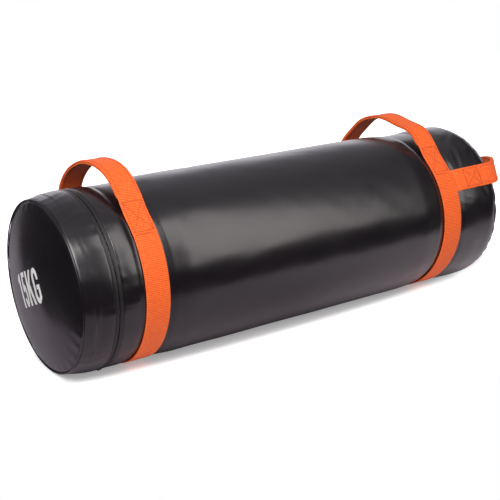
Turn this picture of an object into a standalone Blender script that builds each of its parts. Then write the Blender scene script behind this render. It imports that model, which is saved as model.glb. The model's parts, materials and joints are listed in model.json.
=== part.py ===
"""Sandbag trainer: a soft cylinder with two grip handles and one end handle.

Metres, +Z up. X runs along the bag, from the weight-marked lid to the end handle.
The origin is on the flat that the bag rests on, under the middle of its length.
Places along the bag are written as distances from the lid's rim.
Angles round the bag start at the front (-Y) and climb over the top: 90 degrees is the top.
"""

import math

import bmesh
import bpy
from mathutils import Matrix, Vector

# Whole bag
BAG_LENGTH = 0.640
BAG_RADIUS = 0.107
REST_FLAT_DEPTH = 0.005
CLEARANCE = 0.0003

# Cover
COVER_THICKNESS = 0.002
RIM_INSET = 0.006
LID_BAND_WIDTH = 0.035
LID_CROWN = 0.014
WELT_RADIUS = 0.0011
ZIP_BAND_WIDTH = 0.010
ZIP_BAND_INSET = 0.0012
NEAR_TAPER_LENGTH = 0.017
END_ROUND_RADIUS = 0.018
END_CROWN = 0.003
END_SEAM_SETBACK = 0.018

# Webbing straps round the bag
WEBBING_WIDTH = 0.030
WEBBING_THICKNESS = 0.002
LEFT_STRAP_GAP = 0.028
RIGHT_STRAP_SETBACK = 0.115
WAIST_DEPTH = 0.003
WAIST_MARGIN = 0.0015
WAIST_SHOULDER = 0.022

# Grip handles, in the plane of their strap
HANDLE_ANGLE = math.radians(124)
HANDLE_SIDE_INSET = 0.0085
HANDLE_RISE = 0.027
HANDLE_BEND = 0.006
HANDLE_LEAD = 0.023
HANDLE_LAP_START = 0.013
HANDLE_PIVOT = 0.018
HANDLE_LINING_START = 0.033
HANDLE_STRAIGHT = 0.031
HANDLE_ARCH_POWER = 1.8

# End handle, in the plane through both end strips
END_STRIP_ANGLE = math.radians(33.5)
END_LEAD_SETBACK = 0.022
END_LAP_SETBACK = 0.032
END_PIVOT_SETBACK = 0.027
END_LINING_SETBACK = 0.013
END_STRAIGHT_SETBACK = 0.012
END_HANDLE_REACH = 0.032
END_HANDLE_RISE = 0.013
END_ARCH_POWER = 2.0

# Zip round the lid
ZIP_CLOSED_ANGLE = math.radians(168)
ZIP_OPEN_ANGLE = math.radians(-64)
ZIP_SLIT = 0.002
ZIP_STOP_LENGTH = 0.0025
ZIP_STOP_WIDTH = 0.004
ZIP_STOP_GAP = 0.0005
TAPE_THICKNESS = 0.0012
TAPE_RECESS = 0.0004
TEETH_WIDTH = 0.0025
TEETH_HEIGHT = 0.0014
TEETH_INSET = 0.0003

# Zip slider and its pull
SLIDER_PARK = 0.025852
SLIDER_LENGTH = 0.012
SLIDER_WIDTH = 0.008
SLIDER_PLATE = 0.0014
SLIDER_NECK = 0.0012
SLIDER_RUN_GAP = 0.0005
BRIDGE_WALL = 0.001
BRIDGE_DEPTH = 0.0014
BRIDGE_BAR = 0.0012
PULL_EYE_RADIUS = 0.0022
PULL_EYE_BORE = 0.0012
PULL_EYE_WIDTH = 0.002
PULL_LENGTH = 0.020
PULL_WIDTH = 0.005
PULL_NECK_LENGTH = 0.0065
PULL_CORNER = 0.0012
PULL_THICKNESS = 0.0012
PULL_DROP = math.radians(14)

# Padding and filling inside the cover
FOAM_THICKNESS = 0.0127
FILLER_SKIN = 0.0012
FILLER_START = 0.040
FILLER_END_GAP = 0.002
FILLER_NECK_RADIUS = 0.014
FILLER_NECK_START = 0.024
FILLER_EDGE = 0.012
TIE_RADIUS = 0.0016
TIE_START = 0.029
LID_PAD_DEPTH = 0.020
PAD_START_GAP = 0.003
END_PAD_DEPTH = 0.042
END_PAD_SEAT = 0.0009

# How finely curves are stepped
SIDES = 48
SHARP_ANGLE = math.radians(35)
WAIST_STEPS = 3
LID_BAND_STEPS = 4
LID_PANEL_STEPS = 5
WELT_SIDES = 6
END_CORNER_STEPS = 5
END_FACE_SHARES = (2 / 3, 1 / 3, 0)
BEND_SHARES = (0, 0.25, 0.5, 0.75)
HANDLE_ARCH_STEPS = 9
END_ARCH_STEPS = 20
FILLER_CORNER_STEPS = 3
TIE_SIDES = 8
PULL_EYE_SIDES = 16

# Values worked out from those above
AXIS_HEIGHT = BAG_RADIUS - REST_FLAT_DEPTH
MID_LENGTH = BAG_LENGTH / 2
STEP_ANGLE = math.tau / SIDES
RIM_RADIUS = BAG_RADIUS - RIM_INSET
ZIP_BAND_RADIUS = BAG_RADIUS - ZIP_BAND_INSET
SLIDER_ANGLE = ZIP_CLOSED_ANGLE - SLIDER_PARK / ZIP_BAND_RADIUS
LEFT_STRAP_START = LID_BAND_WIDTH + ZIP_BAND_WIDTH + LEFT_STRAP_GAP
RIGHT_STRAP_START = BAG_LENGTH - RIGHT_STRAP_SETBACK
STRAP_MIDDLES = (LEFT_STRAP_START + WEBBING_WIDTH / 2, RIGHT_STRAP_START + WEBBING_WIDTH / 2)
WAIST_FLAT = WEBBING_WIDTH / 2 + WAIST_MARGIN
WAIST_FLOOR = WEBBING_THICKNESS + 2 * CLEARANCE
END_SEAM = BAG_LENGTH - END_SEAM_SETBACK
END_ROUND_START = BAG_LENGTH - END_CROWN - END_ROUND_RADIUS
ZIP_MIDDLE = LID_BAND_WIDTH + ZIP_BAND_WIDTH / 2
TAPE_OUTER = ZIP_BAND_RADIUS - TAPE_RECESS
TAPE_INNER = TAPE_OUTER - TAPE_THICKNESS
TEETH_OUTER = TAPE_INNER - CLEARANCE - TEETH_INSET
TEETH_INNER = TEETH_OUTER - TEETH_HEIGHT
WALL_GAP = COVER_THICKNESS + CLEARANCE
LAYER_STEP = WEBBING_THICKNESS + CLEARANCE
HANDLE_HALF_SPAN = BAG_RADIUS - HANDLE_SIDE_INSET
HANDLE_HEIGHT = BAG_RADIUS + HANDLE_RISE
FILLER_RADIUS = BAG_RADIUS - WALL_GAP - FOAM_THICKNESS - CLEARANCE
PAD_START = LID_BAND_WIDTH + ZIP_BAND_WIDTH + PAD_START_GAP
PAD_END = BAG_LENGTH - END_PAD_DEPTH
FILLER_END = PAD_END - FILLER_END_GAP


def srgb_to_linear(value):
    """Turn one sRGB channel, 0 to 1, into linear light."""
    if value <= 0.04045:
        return value / 12.92
    return ((value + 0.055) / 1.055) ** 2.4


def make_material(name, colour, roughness, metallic=0.0):
    """Make a plain surface of an sRGB hex colour."""
    material = bpy.data.materials.new(name)
    material.use_nodes = True
    shader = material.node_tree.nodes["Principled BSDF"]
    channels = [int(colour[i:i + 2], 16) / 255 for i in (0, 2, 4)]
    linear = [srgb_to_linear(channel) for channel in channels]
    shader.inputs["Base Color"].default_value = (*linear, 1.0)
    shader.inputs["Roughness"].default_value = roughness
    shader.inputs["Metallic"].default_value = metallic
    return material


def smooth_step(share):
    """Ease from 0 to 1 with level ends."""
    share = min(max(share, 0.0), 1.0)
    return share * share * (3 - 2 * share)


def cover_radius(place):
    """Outer radius of the cover at a distance from the lid's rim."""
    if place <= LID_BAND_WIDTH:
        share = math.sin(math.pi / 2 * max(place, 0.0) / LID_BAND_WIDTH)
        radius = RIM_RADIUS + (ZIP_BAND_RADIUS - RIM_RADIUS) * share
    else:
        share = smooth_step((place - LID_BAND_WIDTH - ZIP_BAND_WIDTH) / NEAR_TAPER_LENGTH)
        radius = ZIP_BAND_RADIUS + (BAG_RADIUS - ZIP_BAND_RADIUS) * share
    if place > END_ROUND_START:
        run = min(place - END_ROUND_START, END_ROUND_RADIUS)
        radius = BAG_RADIUS - END_ROUND_RADIUS + math.sqrt(END_ROUND_RADIUS ** 2 - run ** 2)
    return radius - WAIST_DEPTH * waist_share(place)


def waist_share(place):
    """How far a strap draws the cover in: 1 under it, 0 past its shoulders."""
    nearest = min(abs(place - middle) for middle in STRAP_MIDDLES)
    return 1 - smooth_step((nearest - WAIST_FLAT) / WAIST_SHOULDER)


def cover_floor(place):
    """Height of the cover's resting flat, lifted where a strap passes under it."""
    return WAIST_FLOOR * waist_share(place)


def round_point(place, radius, angle, floor=0.0):
    """Point on a round section of the bag, cut flat at the floor."""
    height = max(AXIS_HEIGHT + radius * math.sin(angle), floor)
    return Vector((place - MID_LENGTH, -radius * math.cos(angle), height))


def new_object(name, material, points, faces, smooth=True):
    """Make an object from points and faces, with its faces pointing out."""
    mesh = bpy.data.meshes.new(name)
    mesh.from_pydata([tuple(point) for point in points], [], faces)
    work = bmesh.new()
    work.from_mesh(mesh)
    bmesh.ops.recalc_face_normals(work, faces=work.faces)
    work.to_mesh(mesh)
    work.free()
    if smooth:
        mesh.shade_smooth()
        mesh.set_sharp_from_angle(angle=SHARP_ANGLE)
    mesh.materials.append(material)
    item = bpy.data.objects.new(name, mesh)
    bpy.context.collection.objects.link(item)
    return item


def new_empty(name, parent, location, turn):
    """Make an empty on a joint's axis, turned about X."""
    empty = bpy.data.objects.new(name, None)
    bpy.context.collection.objects.link(empty)
    empty.parent = parent
    empty.location = location
    empty.rotation_euler = (turn, 0, 0)
    return empty


def full_turn():
    """Angles of the sides of a whole ring."""
    return [index * STEP_ANGLE for index in range(SIDES)]


def arc_turn(start, end):
    """Angles from start to end, both included, in steps like those of a whole ring."""
    low, high = min(start, end), max(start, end)
    first = math.floor(low / STEP_ANGLE) + 1
    last = math.ceil(high / STEP_ANGLE) - 1
    middle = [index * STEP_ANGLE for index in range(first, last + 1)]
    margin = STEP_ANGLE / 8
    middle = [angle for angle in middle if angle - low > margin and high - angle > margin]
    angles = [low, *middle, high]
    return angles if start < end else angles[::-1]


def turned(name, material, profile, angles=None):
    """Turn a closed profile of (place, radius, floor) round the bag's axis.

    A profile that starts and ends on the axis makes a disc, any other a ring.
    With angles given, it makes a part of a ring with flat ends.
    """
    whole = angles is None
    angles = full_turn() if whole else angles
    points = []
    rows = []
    for place, radius, floor in profile:
        if radius == 0:
            rows.append([len(points)] * len(angles))
            points.append(round_point(place, radius, 0, floor))
            continue
        rows.append(list(range(len(points), len(points) + len(angles))))
        points.extend(round_point(place, radius, angle, floor) for angle in angles)
    closed = profile[0][1] != 0
    faces = []
    row_pairs = list(zip(rows, rows[1:] + rows[:1])) if closed else list(zip(rows, rows[1:]))
    spans = range(len(angles)) if whole else range(len(angles) - 1)
    for row, following in row_pairs:
        for index in spans:
            after = (index + 1) % len(angles)
            corners = [row[index], row[after], following[after], following[index]]
            faces.append(list(dict.fromkeys(corners)))
    if not whole:
        faces.append([row[0] for row in rows])
        faces.append([row[-1] for row in rows])
    return new_object(name, material, points, faces)


def ribbon(name, material, sections):
    """Join four-cornered cross sections into one closed strip.

    Both broad faces are split along the same diagonal, so that stacked strips stay apart where they twist.
    """
    points = [corner for section in sections for corner in section]
    faces = [[0, 1, 2, 3]]
    for index in range(len(sections) - 1):
        low = 4 * index
        high = low + 4
        faces += [[low, low + 1, high + 1], [low, high + 1, high]]
        faces += [[low + 1, low + 2, high + 2, high + 1]]
        faces += [[low + 3, high + 2, low + 2], [low + 3, high + 3, high + 2]]
        faces += [[low + 3, low, high, high + 3]]
    last = 4 * (len(sections) - 1)
    faces.append([last, last + 1, last + 2, last + 3])
    return new_object(name, material, points, faces)


def spread(start, end, count):
    """Evenly spaced values from start to end."""
    return [start + (end - start) * index / count for index in range(count + 1)]


# Cover

def body_places():
    """Stations along the cover's tube: close at the straps, wide on the plain stretch."""
    places = [LID_BAND_WIDTH + ZIP_BAND_WIDTH + CLEARANCE]
    for middle in STRAP_MIDDLES:
        shoulder = spread(WAIST_FLAT, WAIST_FLAT + WAIST_SHOULDER, WAIST_STEPS)
        places.extend(middle - offset for offset in reversed(shoulder))
        places.extend(middle + offset for offset in shoulder)
    places.append(MID_LENGTH)
    places.append(END_ROUND_START)
    places.append(END_SEAM)
    low = places[0]
    return sorted(place for place in places if low <= place <= END_SEAM)


def make_cover_body(leather):
    places = body_places()
    outer = [(place, cover_radius(place), cover_floor(place)) for place in places]
    inner = [(place, radius - COVER_THICKNESS, floor + COVER_THICKNESS) for place, radius, floor in outer]
    return turned("cover_body", leather, outer + inner[::-1])


def make_lid_band(leather):
    places = spread(CLEARANCE, LID_BAND_WIDTH, LID_BAND_STEPS)
    outer = [(place, cover_radius(place), 0.0) for place in places]
    inner = [(place, radius - COVER_THICKNESS, COVER_THICKNESS) for place, radius, _ in outer]
    return turned("cover_lid_band", leather, outer + inner[::-1])


def lid_panel_radius():
    """The end panel stops inside the welt."""
    return RIM_RADIUS - 2 * WELT_RADIUS - CLEARANCE


def lid_face(radius):
    """Place of the lid panel's crowned outer face at a radius."""
    share = radius / lid_panel_radius()
    return -WELT_RADIUS - (LID_CROWN - WELT_RADIUS) * (1 - share * share)


def make_lid_panel(leather):
    radii = spread(0.0, lid_panel_radius(), LID_PANEL_STEPS)
    outer = [(lid_face(radius), radius, 0.0) for radius in radii]
    inner = [(lid_face(radius) + COVER_THICKNESS, radius, 0.0) for radius in radii]
    return turned("cover_lid_panel", leather, outer + inner[::-1])


def make_lid_welt(leather):
    profile = []
    for index in range(WELT_SIDES):
        turn = math.tau * (index + 0.5) / WELT_SIDES
        place = -WELT_RADIUS + WELT_RADIUS * math.cos(turn)
        radius = RIM_RADIUS - WELT_RADIUS + WELT_RADIUS * math.sin(turn)
        profile.append((place, radius, 0.0))
    return turned("lid_welt", leather, profile)


def end_face_profile(inset):
    """Profile of the rounded end panel, set in from its outer face."""
    corner = END_ROUND_RADIUS - inset
    start = math.asin((END_SEAM + CLEARANCE - END_ROUND_START) / corner)
    hub = BAG_RADIUS - END_ROUND_RADIUS
    profile = []
    for turn in spread(start, math.pi / 2, END_CORNER_STEPS):
        place = END_ROUND_START + corner * math.sin(turn)
        profile.append((place, hub + corner * math.cos(turn), inset))
    for share in END_FACE_SHARES:
        crown = END_CROWN * (1 - share * share)
        profile.append((END_ROUND_START + corner + crown, hub * share, inset))
    return profile


def make_end_panel(leather):
    outer = end_face_profile(0.0)
    inner = end_face_profile(COVER_THICKNESS)
    return turned("cover_end_panel", leather, outer[::-1] + inner)


def make_cover_bridge(leather):
    """The stretch under the bag where the lid stays joined to the tube."""
    low = LID_BAND_WIDTH + CLEARANCE
    high = LID_BAND_WIDTH + ZIP_BAND_WIDTH
    inner = ZIP_BAND_RADIUS - COVER_THICKNESS
    profile = [
        (low, ZIP_BAND_RADIUS, 0.0),
        (high, ZIP_BAND_RADIUS, 0.0),
        (high, inner, COVER_THICKNESS),
        (low, inner, COVER_THICKNESS),
    ]
    gap_angle = CLEARANCE / TAPE_INNER
    angles = arc_turn(ZIP_CLOSED_ANGLE + gap_angle, ZIP_OPEN_ANGLE + math.tau - gap_angle)
    return turned("cover_bridge", leather, profile, angles)


# Zip

def box_profile(low, high, inner, outer):
    """Square-cornered profile between two places and two radii."""
    return [(low, outer, 0.0), (high, outer, 0.0), (high, inner, 0.0), (low, inner, 0.0)]


def make_zip_rows(fabric, plastic):
    """Two tapes with a slit between them, and the coil row under each tape's edge."""
    angles = arc_turn(ZIP_OPEN_ANGLE, ZIP_CLOSED_ANGLE)
    stop_angle = (ZIP_STOP_LENGTH + ZIP_STOP_GAP) / TEETH_INNER
    row_angles = arc_turn(ZIP_OPEN_ANGLE + stop_angle, ZIP_CLOSED_ANGLE - stop_angle)
    for side, label in ((-1, "lid"), (1, "body")):
        slit_edge = ZIP_MIDDLE + side * ZIP_SLIT / 2
        band_edge = ZIP_MIDDLE + side * (ZIP_BAND_WIDTH / 2 - CLEARANCE)
        tape = box_profile(*sorted((slit_edge, band_edge)), TAPE_INNER, TAPE_OUTER)
        turned(f"zip_tape_{label}", fabric, tape, angles)
        row_end = slit_edge + side * TEETH_WIDTH
        row = box_profile(*sorted((slit_edge, row_end)), TEETH_INNER, TEETH_OUTER)
        turned(f"zip_coil_{label}", plastic, row, row_angles)


def make_zip_stop(name, metal, angle, side):
    """Clip across the slit at an end of the zip."""
    neck = (ZIP_SLIT - 2 * CLEARANCE) / 2
    wing = ZIP_STOP_WIDTH / 2
    seat = TAPE_OUTER + CLEARANCE
    top = seat + TAPE_THICKNESS
    outline = [(-wing, seat), (-wing, top), (wing, top), (wing, seat), (neck, seat), (neck, TEETH_INNER)]
    outline += [(-neck, TEETH_INNER), (-neck, seat)]
    profile = [(ZIP_MIDDLE + offset, radius, 0.0) for offset, radius in outline]
    far = angle + side * ZIP_STOP_LENGTH / TEETH_INNER
    return turned(name, metal, profile, [min(angle, far), max(angle, far)])


def extruded(name, material, outline, depth, smooth=False):
    """Extrude an outline of (x, z) points evenly to both sides along y."""
    count = len(outline)
    points = [Vector((x, -depth / 2, z)) for x, z in outline]
    points += [Vector((x, depth / 2, z)) for x, z in outline]
    faces = [list(range(count)), list(range(count, 2 * count))]
    for index in range(count):
        after = (index + 1) % count
        faces.append([index, after, count + after, count + index])
    return new_object(name, material, points, faces, smooth)


def add_boolean(item, tool, operation):
    """Cut or join a piece with a hidden tool shape."""
    modifier = item.modifiers.new(operation.lower(), "BOOLEAN")
    modifier.operation = operation
    modifier.solver = "EXACT"
    modifier.object = tool
    tool.hide_render = True
    tool.display_type = "WIRE"


def make_slider(metal, zip_axis):
    """Plates above and below the tapes, a neck through the slit and a bridge on top."""
    top_low = TAPE_OUTER + SLIDER_RUN_GAP
    top_high = top_low + SLIDER_PLATE
    under_high = TEETH_INNER - 2 * SLIDER_RUN_GAP
    under_low = under_high - SLIDER_PLATE
    wing = SLIDER_WIDTH / 2
    neck = SLIDER_NECK / 2
    right = [(wing, top_high), (wing, top_low), (neck, top_low), (neck, under_high)]
    right += [(wing, under_high), (wing, under_low)]
    left = [(-x, z) for x, z in reversed(right)]
    slider = extruded("zip_slider", metal, right + left, SLIDER_LENGTH)
    inner = PULL_EYE_WIDTH / 2 + CLEARANCE
    outer = inner + BRIDGE_WALL
    bar_low = top_high + PULL_EYE_RADIUS + CLEARANCE - BRIDGE_BAR / 2
    bar_high = bar_low + BRIDGE_BAR
    sunk = top_high - SLIDER_PLATE / 2
    arch = [(outer, sunk), (outer, bar_high), (-outer, bar_high), (-outer, sunk)]
    arch += [(-inner, sunk), (-inner, bar_low), (inner, bar_low), (inner, sunk)]
    bridge = extruded("slider_bridge_tool", metal, arch, BRIDGE_DEPTH)
    add_boolean(slider, bridge, "UNION")
    for item in (slider, bridge):
        item.parent = zip_axis
    return (bar_low + bar_high) / 2


def ring_points(radius, sides):
    """Corners of a ring in the plane across the bag, as (y, z)."""
    turns = [math.tau * index / sides for index in range(sides)]
    return [(radius * math.cos(turn), radius * math.sin(turn)) for turn in turns]


def make_eye(name, material):
    """Flat ring that turns on the slider's bridge."""
    half = PULL_EYE_WIDTH / 2
    outer = ring_points(PULL_EYE_RADIUS, PULL_EYE_SIDES)
    bore = ring_points(PULL_EYE_BORE, PULL_EYE_SIDES)
    points = []
    for x, ring in ((-half, outer), (half, outer), (half, bore), (-half, bore)):
        points.extend(Vector((x, y, z)) for y, z in ring)
    faces = []
    for row in range(4):
        base = row * PULL_EYE_SIDES
        above = (row + 1) % 4 * PULL_EYE_SIDES
        for index in range(PULL_EYE_SIDES):
            after = (index + 1) % PULL_EYE_SIDES
            faces.append([base + index, base + after, above + after, above + index])
    return new_object(name, material, points, faces)


def make_pull(metal, zip_axis, pivot_height):
    """Tongue that hangs from an eye on the slider's bridge."""
    hinge = new_empty("pull_hinge", zip_axis, (0, 0, pivot_height), -PULL_DROP)
    eye = make_eye("zip_pull", metal)
    eye_half = PULL_EYE_WIDTH / 2
    tab_half = PULL_WIDTH / 2
    root = (PULL_EYE_RADIUS + PULL_EYE_BORE) / 2
    right = [(eye_half, root), (eye_half, PULL_NECK_LENGTH), (tab_half, PULL_NECK_LENGTH + tab_half)]
    right += [(tab_half, PULL_LENGTH - PULL_CORNER), (tab_half - PULL_CORNER, PULL_LENGTH)]
    outline = right + [(-x, length) for x, length in reversed(right)]
    tongue = extruded("pull_tongue_tool", metal, outline, PULL_THICKNESS)
    tongue.rotation_euler = (-math.pi / 2, 0, 0)
    add_boolean(eye, tongue, "UNION")
    for item in (eye, tongue):
        item.parent = hinge


def make_zip(fabric, plastic, metal):
    make_zip_rows(fabric, plastic)
    make_zip_stop("zip_stop_closed", metal, ZIP_CLOSED_ANGLE, -1)
    make_zip_stop("zip_stop_open", metal, ZIP_OPEN_ANGLE, 1)
    place = (ZIP_MIDDLE - MID_LENGTH, 0, AXIS_HEIGHT)
    zip_axis = new_empty("zip_axis", None, place, math.pi / 2 - SLIDER_ANGLE)
    pivot_height = make_slider(metal, zip_axis)
    make_pull(metal, zip_axis, pivot_height)


# Straps and grip handles

def handle_frame():
    """Directions in a strap's plane: across the feet, and up the middle of the handle."""
    across = Vector((0, -math.cos(HANDLE_ANGLE - math.pi / 2), math.sin(HANDLE_ANGLE - math.pi / 2)))
    up = Vector((0, -math.cos(HANDLE_ANGLE), math.sin(HANDLE_ANGLE)))
    return across, up


def handle_point(span, height):
    """Point in a strap's plane, at the bag's middle length."""
    across, up = handle_frame()
    return Vector((0, 0, AXIS_HEIGHT)) + across * span + up * height


def lead_span():
    """Where the inner face of the strap's lead stands, off the handle's middle line."""
    return HANDLE_HALF_SPAN - LAYER_STEP - WEBBING_THICKNESS


def strap_radius():
    """Radius of the strap's inner face on the drawn-in cover."""
    return BAG_RADIUS - WAIST_DEPTH + CLEARANCE


def crease_height():
    """Height, along the handle's middle line, where the lead leaves the bag."""
    return math.sqrt(strap_radius() ** 2 - lead_span() ** 2)


def strap_side(span, radius, floor):
    """One face of the strap, from one lead's end round under the bag to the other's."""
    base = crease_height()
    corner_height = math.sqrt(radius ** 2 - span ** 2)
    corner_turn = math.atan2(span, corner_height)
    bend_turn = HANDLE_BEND / radius
    near_angle = HANDLE_ANGLE - corner_turn - bend_turn
    far_angle = HANDLE_ANGLE + corner_turn + bend_turn - math.tau
    near_start = round_point(MID_LENGTH, radius, near_angle)
    far_start = round_point(MID_LENGTH, radius, far_angle)
    near = bend_points(handle_point(span, base + HANDLE_BEND), handle_point(span, corner_height), near_start)
    far = bend_points(handle_point(-span, base + HANDLE_BEND), handle_point(-span, corner_height), far_start)
    under = [round_point(MID_LENGTH, radius, angle, floor) for angle in arc_turn(near_angle, far_angle)]
    ends = handle_point(span, base + HANDLE_LEAD), handle_point(-span, base + HANDLE_LEAD)
    return [ends[0], *near, *under, *far[::-1], ends[1]]


def bend_points(start, corner, end):
    """Smooth bend from start towards end, without the end itself."""
    points = []
    for share in BEND_SHARES:
        first = start.lerp(corner, share)
        points.append(first.lerp(corner.lerp(end, share), share))
    return points


def strap_sections(inner, outer, middle):
    """Cross sections of a strip of webbing whose faces lie in one strap's plane."""
    sections = []
    for inside, outside in zip(inner, outer):
        low = Vector((middle - MID_LENGTH - WEBBING_WIDTH / 2, 0, 0))
        high = Vector((middle - MID_LENGTH + WEBBING_WIDTH / 2, 0, 0))
        sections.append([inside + low, inside + high, outside + high, outside + low])
    return sections


def arch_side(span, height, start, power):
    """One face of a handle: straight up from a foot, over the arch and down again."""
    base = crease_height()
    rise = height - base - HANDLE_STRAIGHT
    half = [(span, base + start)]
    for turn in spread(0.0, math.pi / 2, HANDLE_ARCH_STEPS):
        across = span * max(math.cos(turn), 0.0) ** (2 / power)
        half.append((across, base + HANDLE_STRAIGHT + rise * math.sin(turn) ** (2 / power)))
    half[-1] = (0.0, height)
    whole = half + [(-across, up) for across, up in reversed(half[:-1])]
    return [handle_point(across, up) for across, up in whole]


def make_strap(side, middle, webbing):
    """A strap round the bag, with its grip handle and the handle's lining."""
    span = lead_span()
    inner = strap_side(span, strap_radius(), WAIST_FLOOR - CLEARANCE)
    outer = strap_side(span + WEBBING_THICKNESS, strap_radius() + WEBBING_THICKNESS, CLEARANCE)
    ribbon(f"{side}_strap", webbing, strap_sections(inner, outer, middle))
    face = HANDLE_HALF_SPAN
    outside = arch_side(face, HANDLE_HEIGHT, HANDLE_LAP_START, HANDLE_ARCH_POWER)
    inside = arch_side(face - WEBBING_THICKNESS, HANDLE_HEIGHT - WEBBING_THICKNESS, HANDLE_LAP_START,
                       HANDLE_ARCH_POWER)
    handle = ribbon(f"{side}_handle", webbing, strap_sections(inside, outside, middle))
    lining_height = HANDLE_HEIGHT - LAYER_STEP
    outside = arch_side(face - LAYER_STEP, lining_height, HANDLE_LINING_START, HANDLE_ARCH_POWER)
    inside = arch_side(span, lining_height - WEBBING_THICKNESS, HANDLE_LINING_START, HANDLE_ARCH_POWER)
    lining = ribbon(f"{side}_handle_lining", webbing, strap_sections(inside, outside, middle))
    pivot = handle_point(0, crease_height() + HANDLE_PIVOT)
    pivot.x = middle - MID_LENGTH
    for item in (handle, lining):
        item.data.transform(Matrix.Translation(-pivot))
        item.location = pivot


# End strips and end handle

def end_directions(angle):
    """Outward and widthwise directions of a strip that lies along the bag."""
    outward = Vector((0, -math.cos(angle), math.sin(angle)))
    widthwise = Vector((0, math.sin(angle), math.cos(angle)))
    return outward, widthwise


def end_point(place, reach, angle):
    """Point on the middle line of an end strip."""
    outward, _ = end_directions(angle)
    return Vector((place - MID_LENGTH, 0, AXIS_HEIGHT)) + outward * reach


def make_end_strip(name, webbing, angle):
    """Strip from the right strap to the foot of the end handle."""
    _, widthwise = end_directions(angle)
    half = widthwise * WEBBING_WIDTH / 2
    start = RIGHT_STRAP_START + WEBBING_WIDTH + CLEARANCE
    places = [start]
    places += [place for place in body_places() if start < place < END_ROUND_START]
    places.append(BAG_LENGTH - END_LEAD_SETBACK)
    sections = []
    for place in places:
        seat = cover_radius(min(place, END_ROUND_START)) + CLEARANCE
        low = end_point(place, seat, angle)
        high = end_point(place, seat + WEBBING_THICKNESS, angle)
        sections.append([low - half, low + half, high + half, high - half])
    return ribbon(name, webbing, sections)


def end_arch(reach, crown, start_setback, power):
    """Middle line of one face of the end handle, with the widthwise direction at each point."""
    straight = BAG_LENGTH - END_STRAIGHT_SETBACK
    rise_length = crown - straight
    outward, widthwise = end_directions(END_STRIP_ANGLE)
    rows = [(BAG_LENGTH - start_setback, reach, 0.0)]
    for turn in spread(0.0, math.pi, END_ARCH_STEPS):
        lift = math.sin(turn) ** (2 / power)
        across = reach * math.copysign(abs(math.cos(turn)) ** (2 / power), math.cos(turn))
        rows.append((straight + rise_length * lift, across, lift))
    rows.append((BAG_LENGTH - start_setback, -reach, 0.0))
    faces = []
    for place, across, lift in rows:
        centre = Vector((place - MID_LENGTH, 0, AXIS_HEIGHT)) + outward * across
        centre += widthwise * END_HANDLE_RISE * lift ** 2
        lean = math.atan(2 * END_HANDLE_RISE * lift / (END_STRAIGHT_SETBACK + END_HANDLE_REACH))
        width = widthwise * math.cos(lean) - Vector((1, 0, 0)) * math.sin(lean)
        faces.append((centre, width * WEBBING_WIDTH / 2))
    return faces


def make_end_loop(name, webbing, reach, crown, start_setback):
    """Bent strip of webbing with its feet on both sides of the bag."""
    outside = end_arch(reach, crown, start_setback, END_ARCH_POWER)
    inside = end_arch(reach - WEBBING_THICKNESS, crown - WEBBING_THICKNESS, start_setback, END_ARCH_POWER)
    sections = []
    for (low, low_half), (high, high_half) in zip(inside, outside):
        sections.append([low - low_half, low + low_half, high + high_half, high - high_half])
    item = ribbon(name, webbing, sections)
    pivot = Vector((MID_LENGTH - END_PIVOT_SETBACK, 0, AXIS_HEIGHT))
    item.data.transform(Matrix.Translation(-pivot))
    item.location = pivot
    return item


def make_end_handle(webbing):
    make_end_strip("end_strip_front", webbing, END_STRIP_ANGLE)
    make_end_strip("end_strip_back", webbing, END_STRIP_ANGLE + math.pi)
    reach = BAG_RADIUS + CLEARANCE + LAYER_STEP + WEBBING_THICKNESS
    crown = BAG_LENGTH + END_HANDLE_REACH
    make_end_loop("end_handle", webbing, reach, crown, END_LAP_SETBACK)
    make_end_loop("end_handle_lining", webbing, reach - LAYER_STEP, crown - LAYER_STEP, END_LINING_SETBACK)


# Padding and filling

def make_foam_wrap(foam):
    places = [place for place in body_places() if PAD_START < place < PAD_END]
    places = [PAD_START, *places, PAD_END]
    outer = [(place, cover_radius(place) - WALL_GAP, cover_floor(place) + WALL_GAP) for place in places]
    bore = FILLER_RADIUS + CLEARANCE
    inner = [(PAD_END, bore, 0.0), (MID_LENGTH, bore, 0.0), (PAD_START, bore, 0.0)]
    return turned("foam_wrap", foam, outer + inner)


def make_lid_pad(foam):
    edge = lid_panel_radius() - CLEARANCE
    front = [(lid_face(radius) + WALL_GAP, radius, 0.0) for radius in spread(0.0, edge, LID_PANEL_STEPS)]
    back = [(LID_PAD_DEPTH, edge, 0.0), (LID_PAD_DEPTH, 0.0, 0.0)]
    return turned("foam_lid_pad", foam, front + back)


def make_end_pad(foam):
    start = PAD_END + CLEARANCE
    front = end_face_profile(WALL_GAP)
    edge = cover_radius(start) - WALL_GAP - END_PAD_SEAT
    outline = [(start, 0.0, 0.0), (start, edge, WALL_GAP)]
    outline += [(place, min(radius, edge), floor) for place, radius, floor in front]
    return turned("foam_end_pad", foam, outline)


def filler_profile(inset):
    """Outline of the filler bag from its neck to its far end, set in from its outer face."""
    neck = FILLER_NECK_RADIUS - inset
    body = FILLER_RADIUS - inset
    front = FILLER_START + inset
    back = FILLER_END - inset
    corner = FILLER_EDGE - inset
    outline = [(front, neck)]
    for turn in spread(0.0, math.pi / 2, FILLER_CORNER_STEPS):
        outline.append((front + corner - corner * math.cos(turn), body - corner + corner * math.sin(turn)))
    for turn in spread(0.0, math.pi / 2, FILLER_CORNER_STEPS):
        outline.append((back - corner + corner * math.sin(turn), body - corner + corner * math.cos(turn)))
    outline.append((back, 0.0))
    return [(place, radius, 0.0) for place, radius in outline]


def make_filler_bag(fabric):
    outer = [(FILLER_NECK_START, FILLER_NECK_RADIUS, 0.0), *filler_profile(0.0)]
    inner = [(FILLER_NECK_START, FILLER_NECK_RADIUS - FILLER_SKIN, 0.0), *filler_profile(FILLER_SKIN)]
    return turned("filler_bag", fabric, outer[::-1] + inner)


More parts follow.
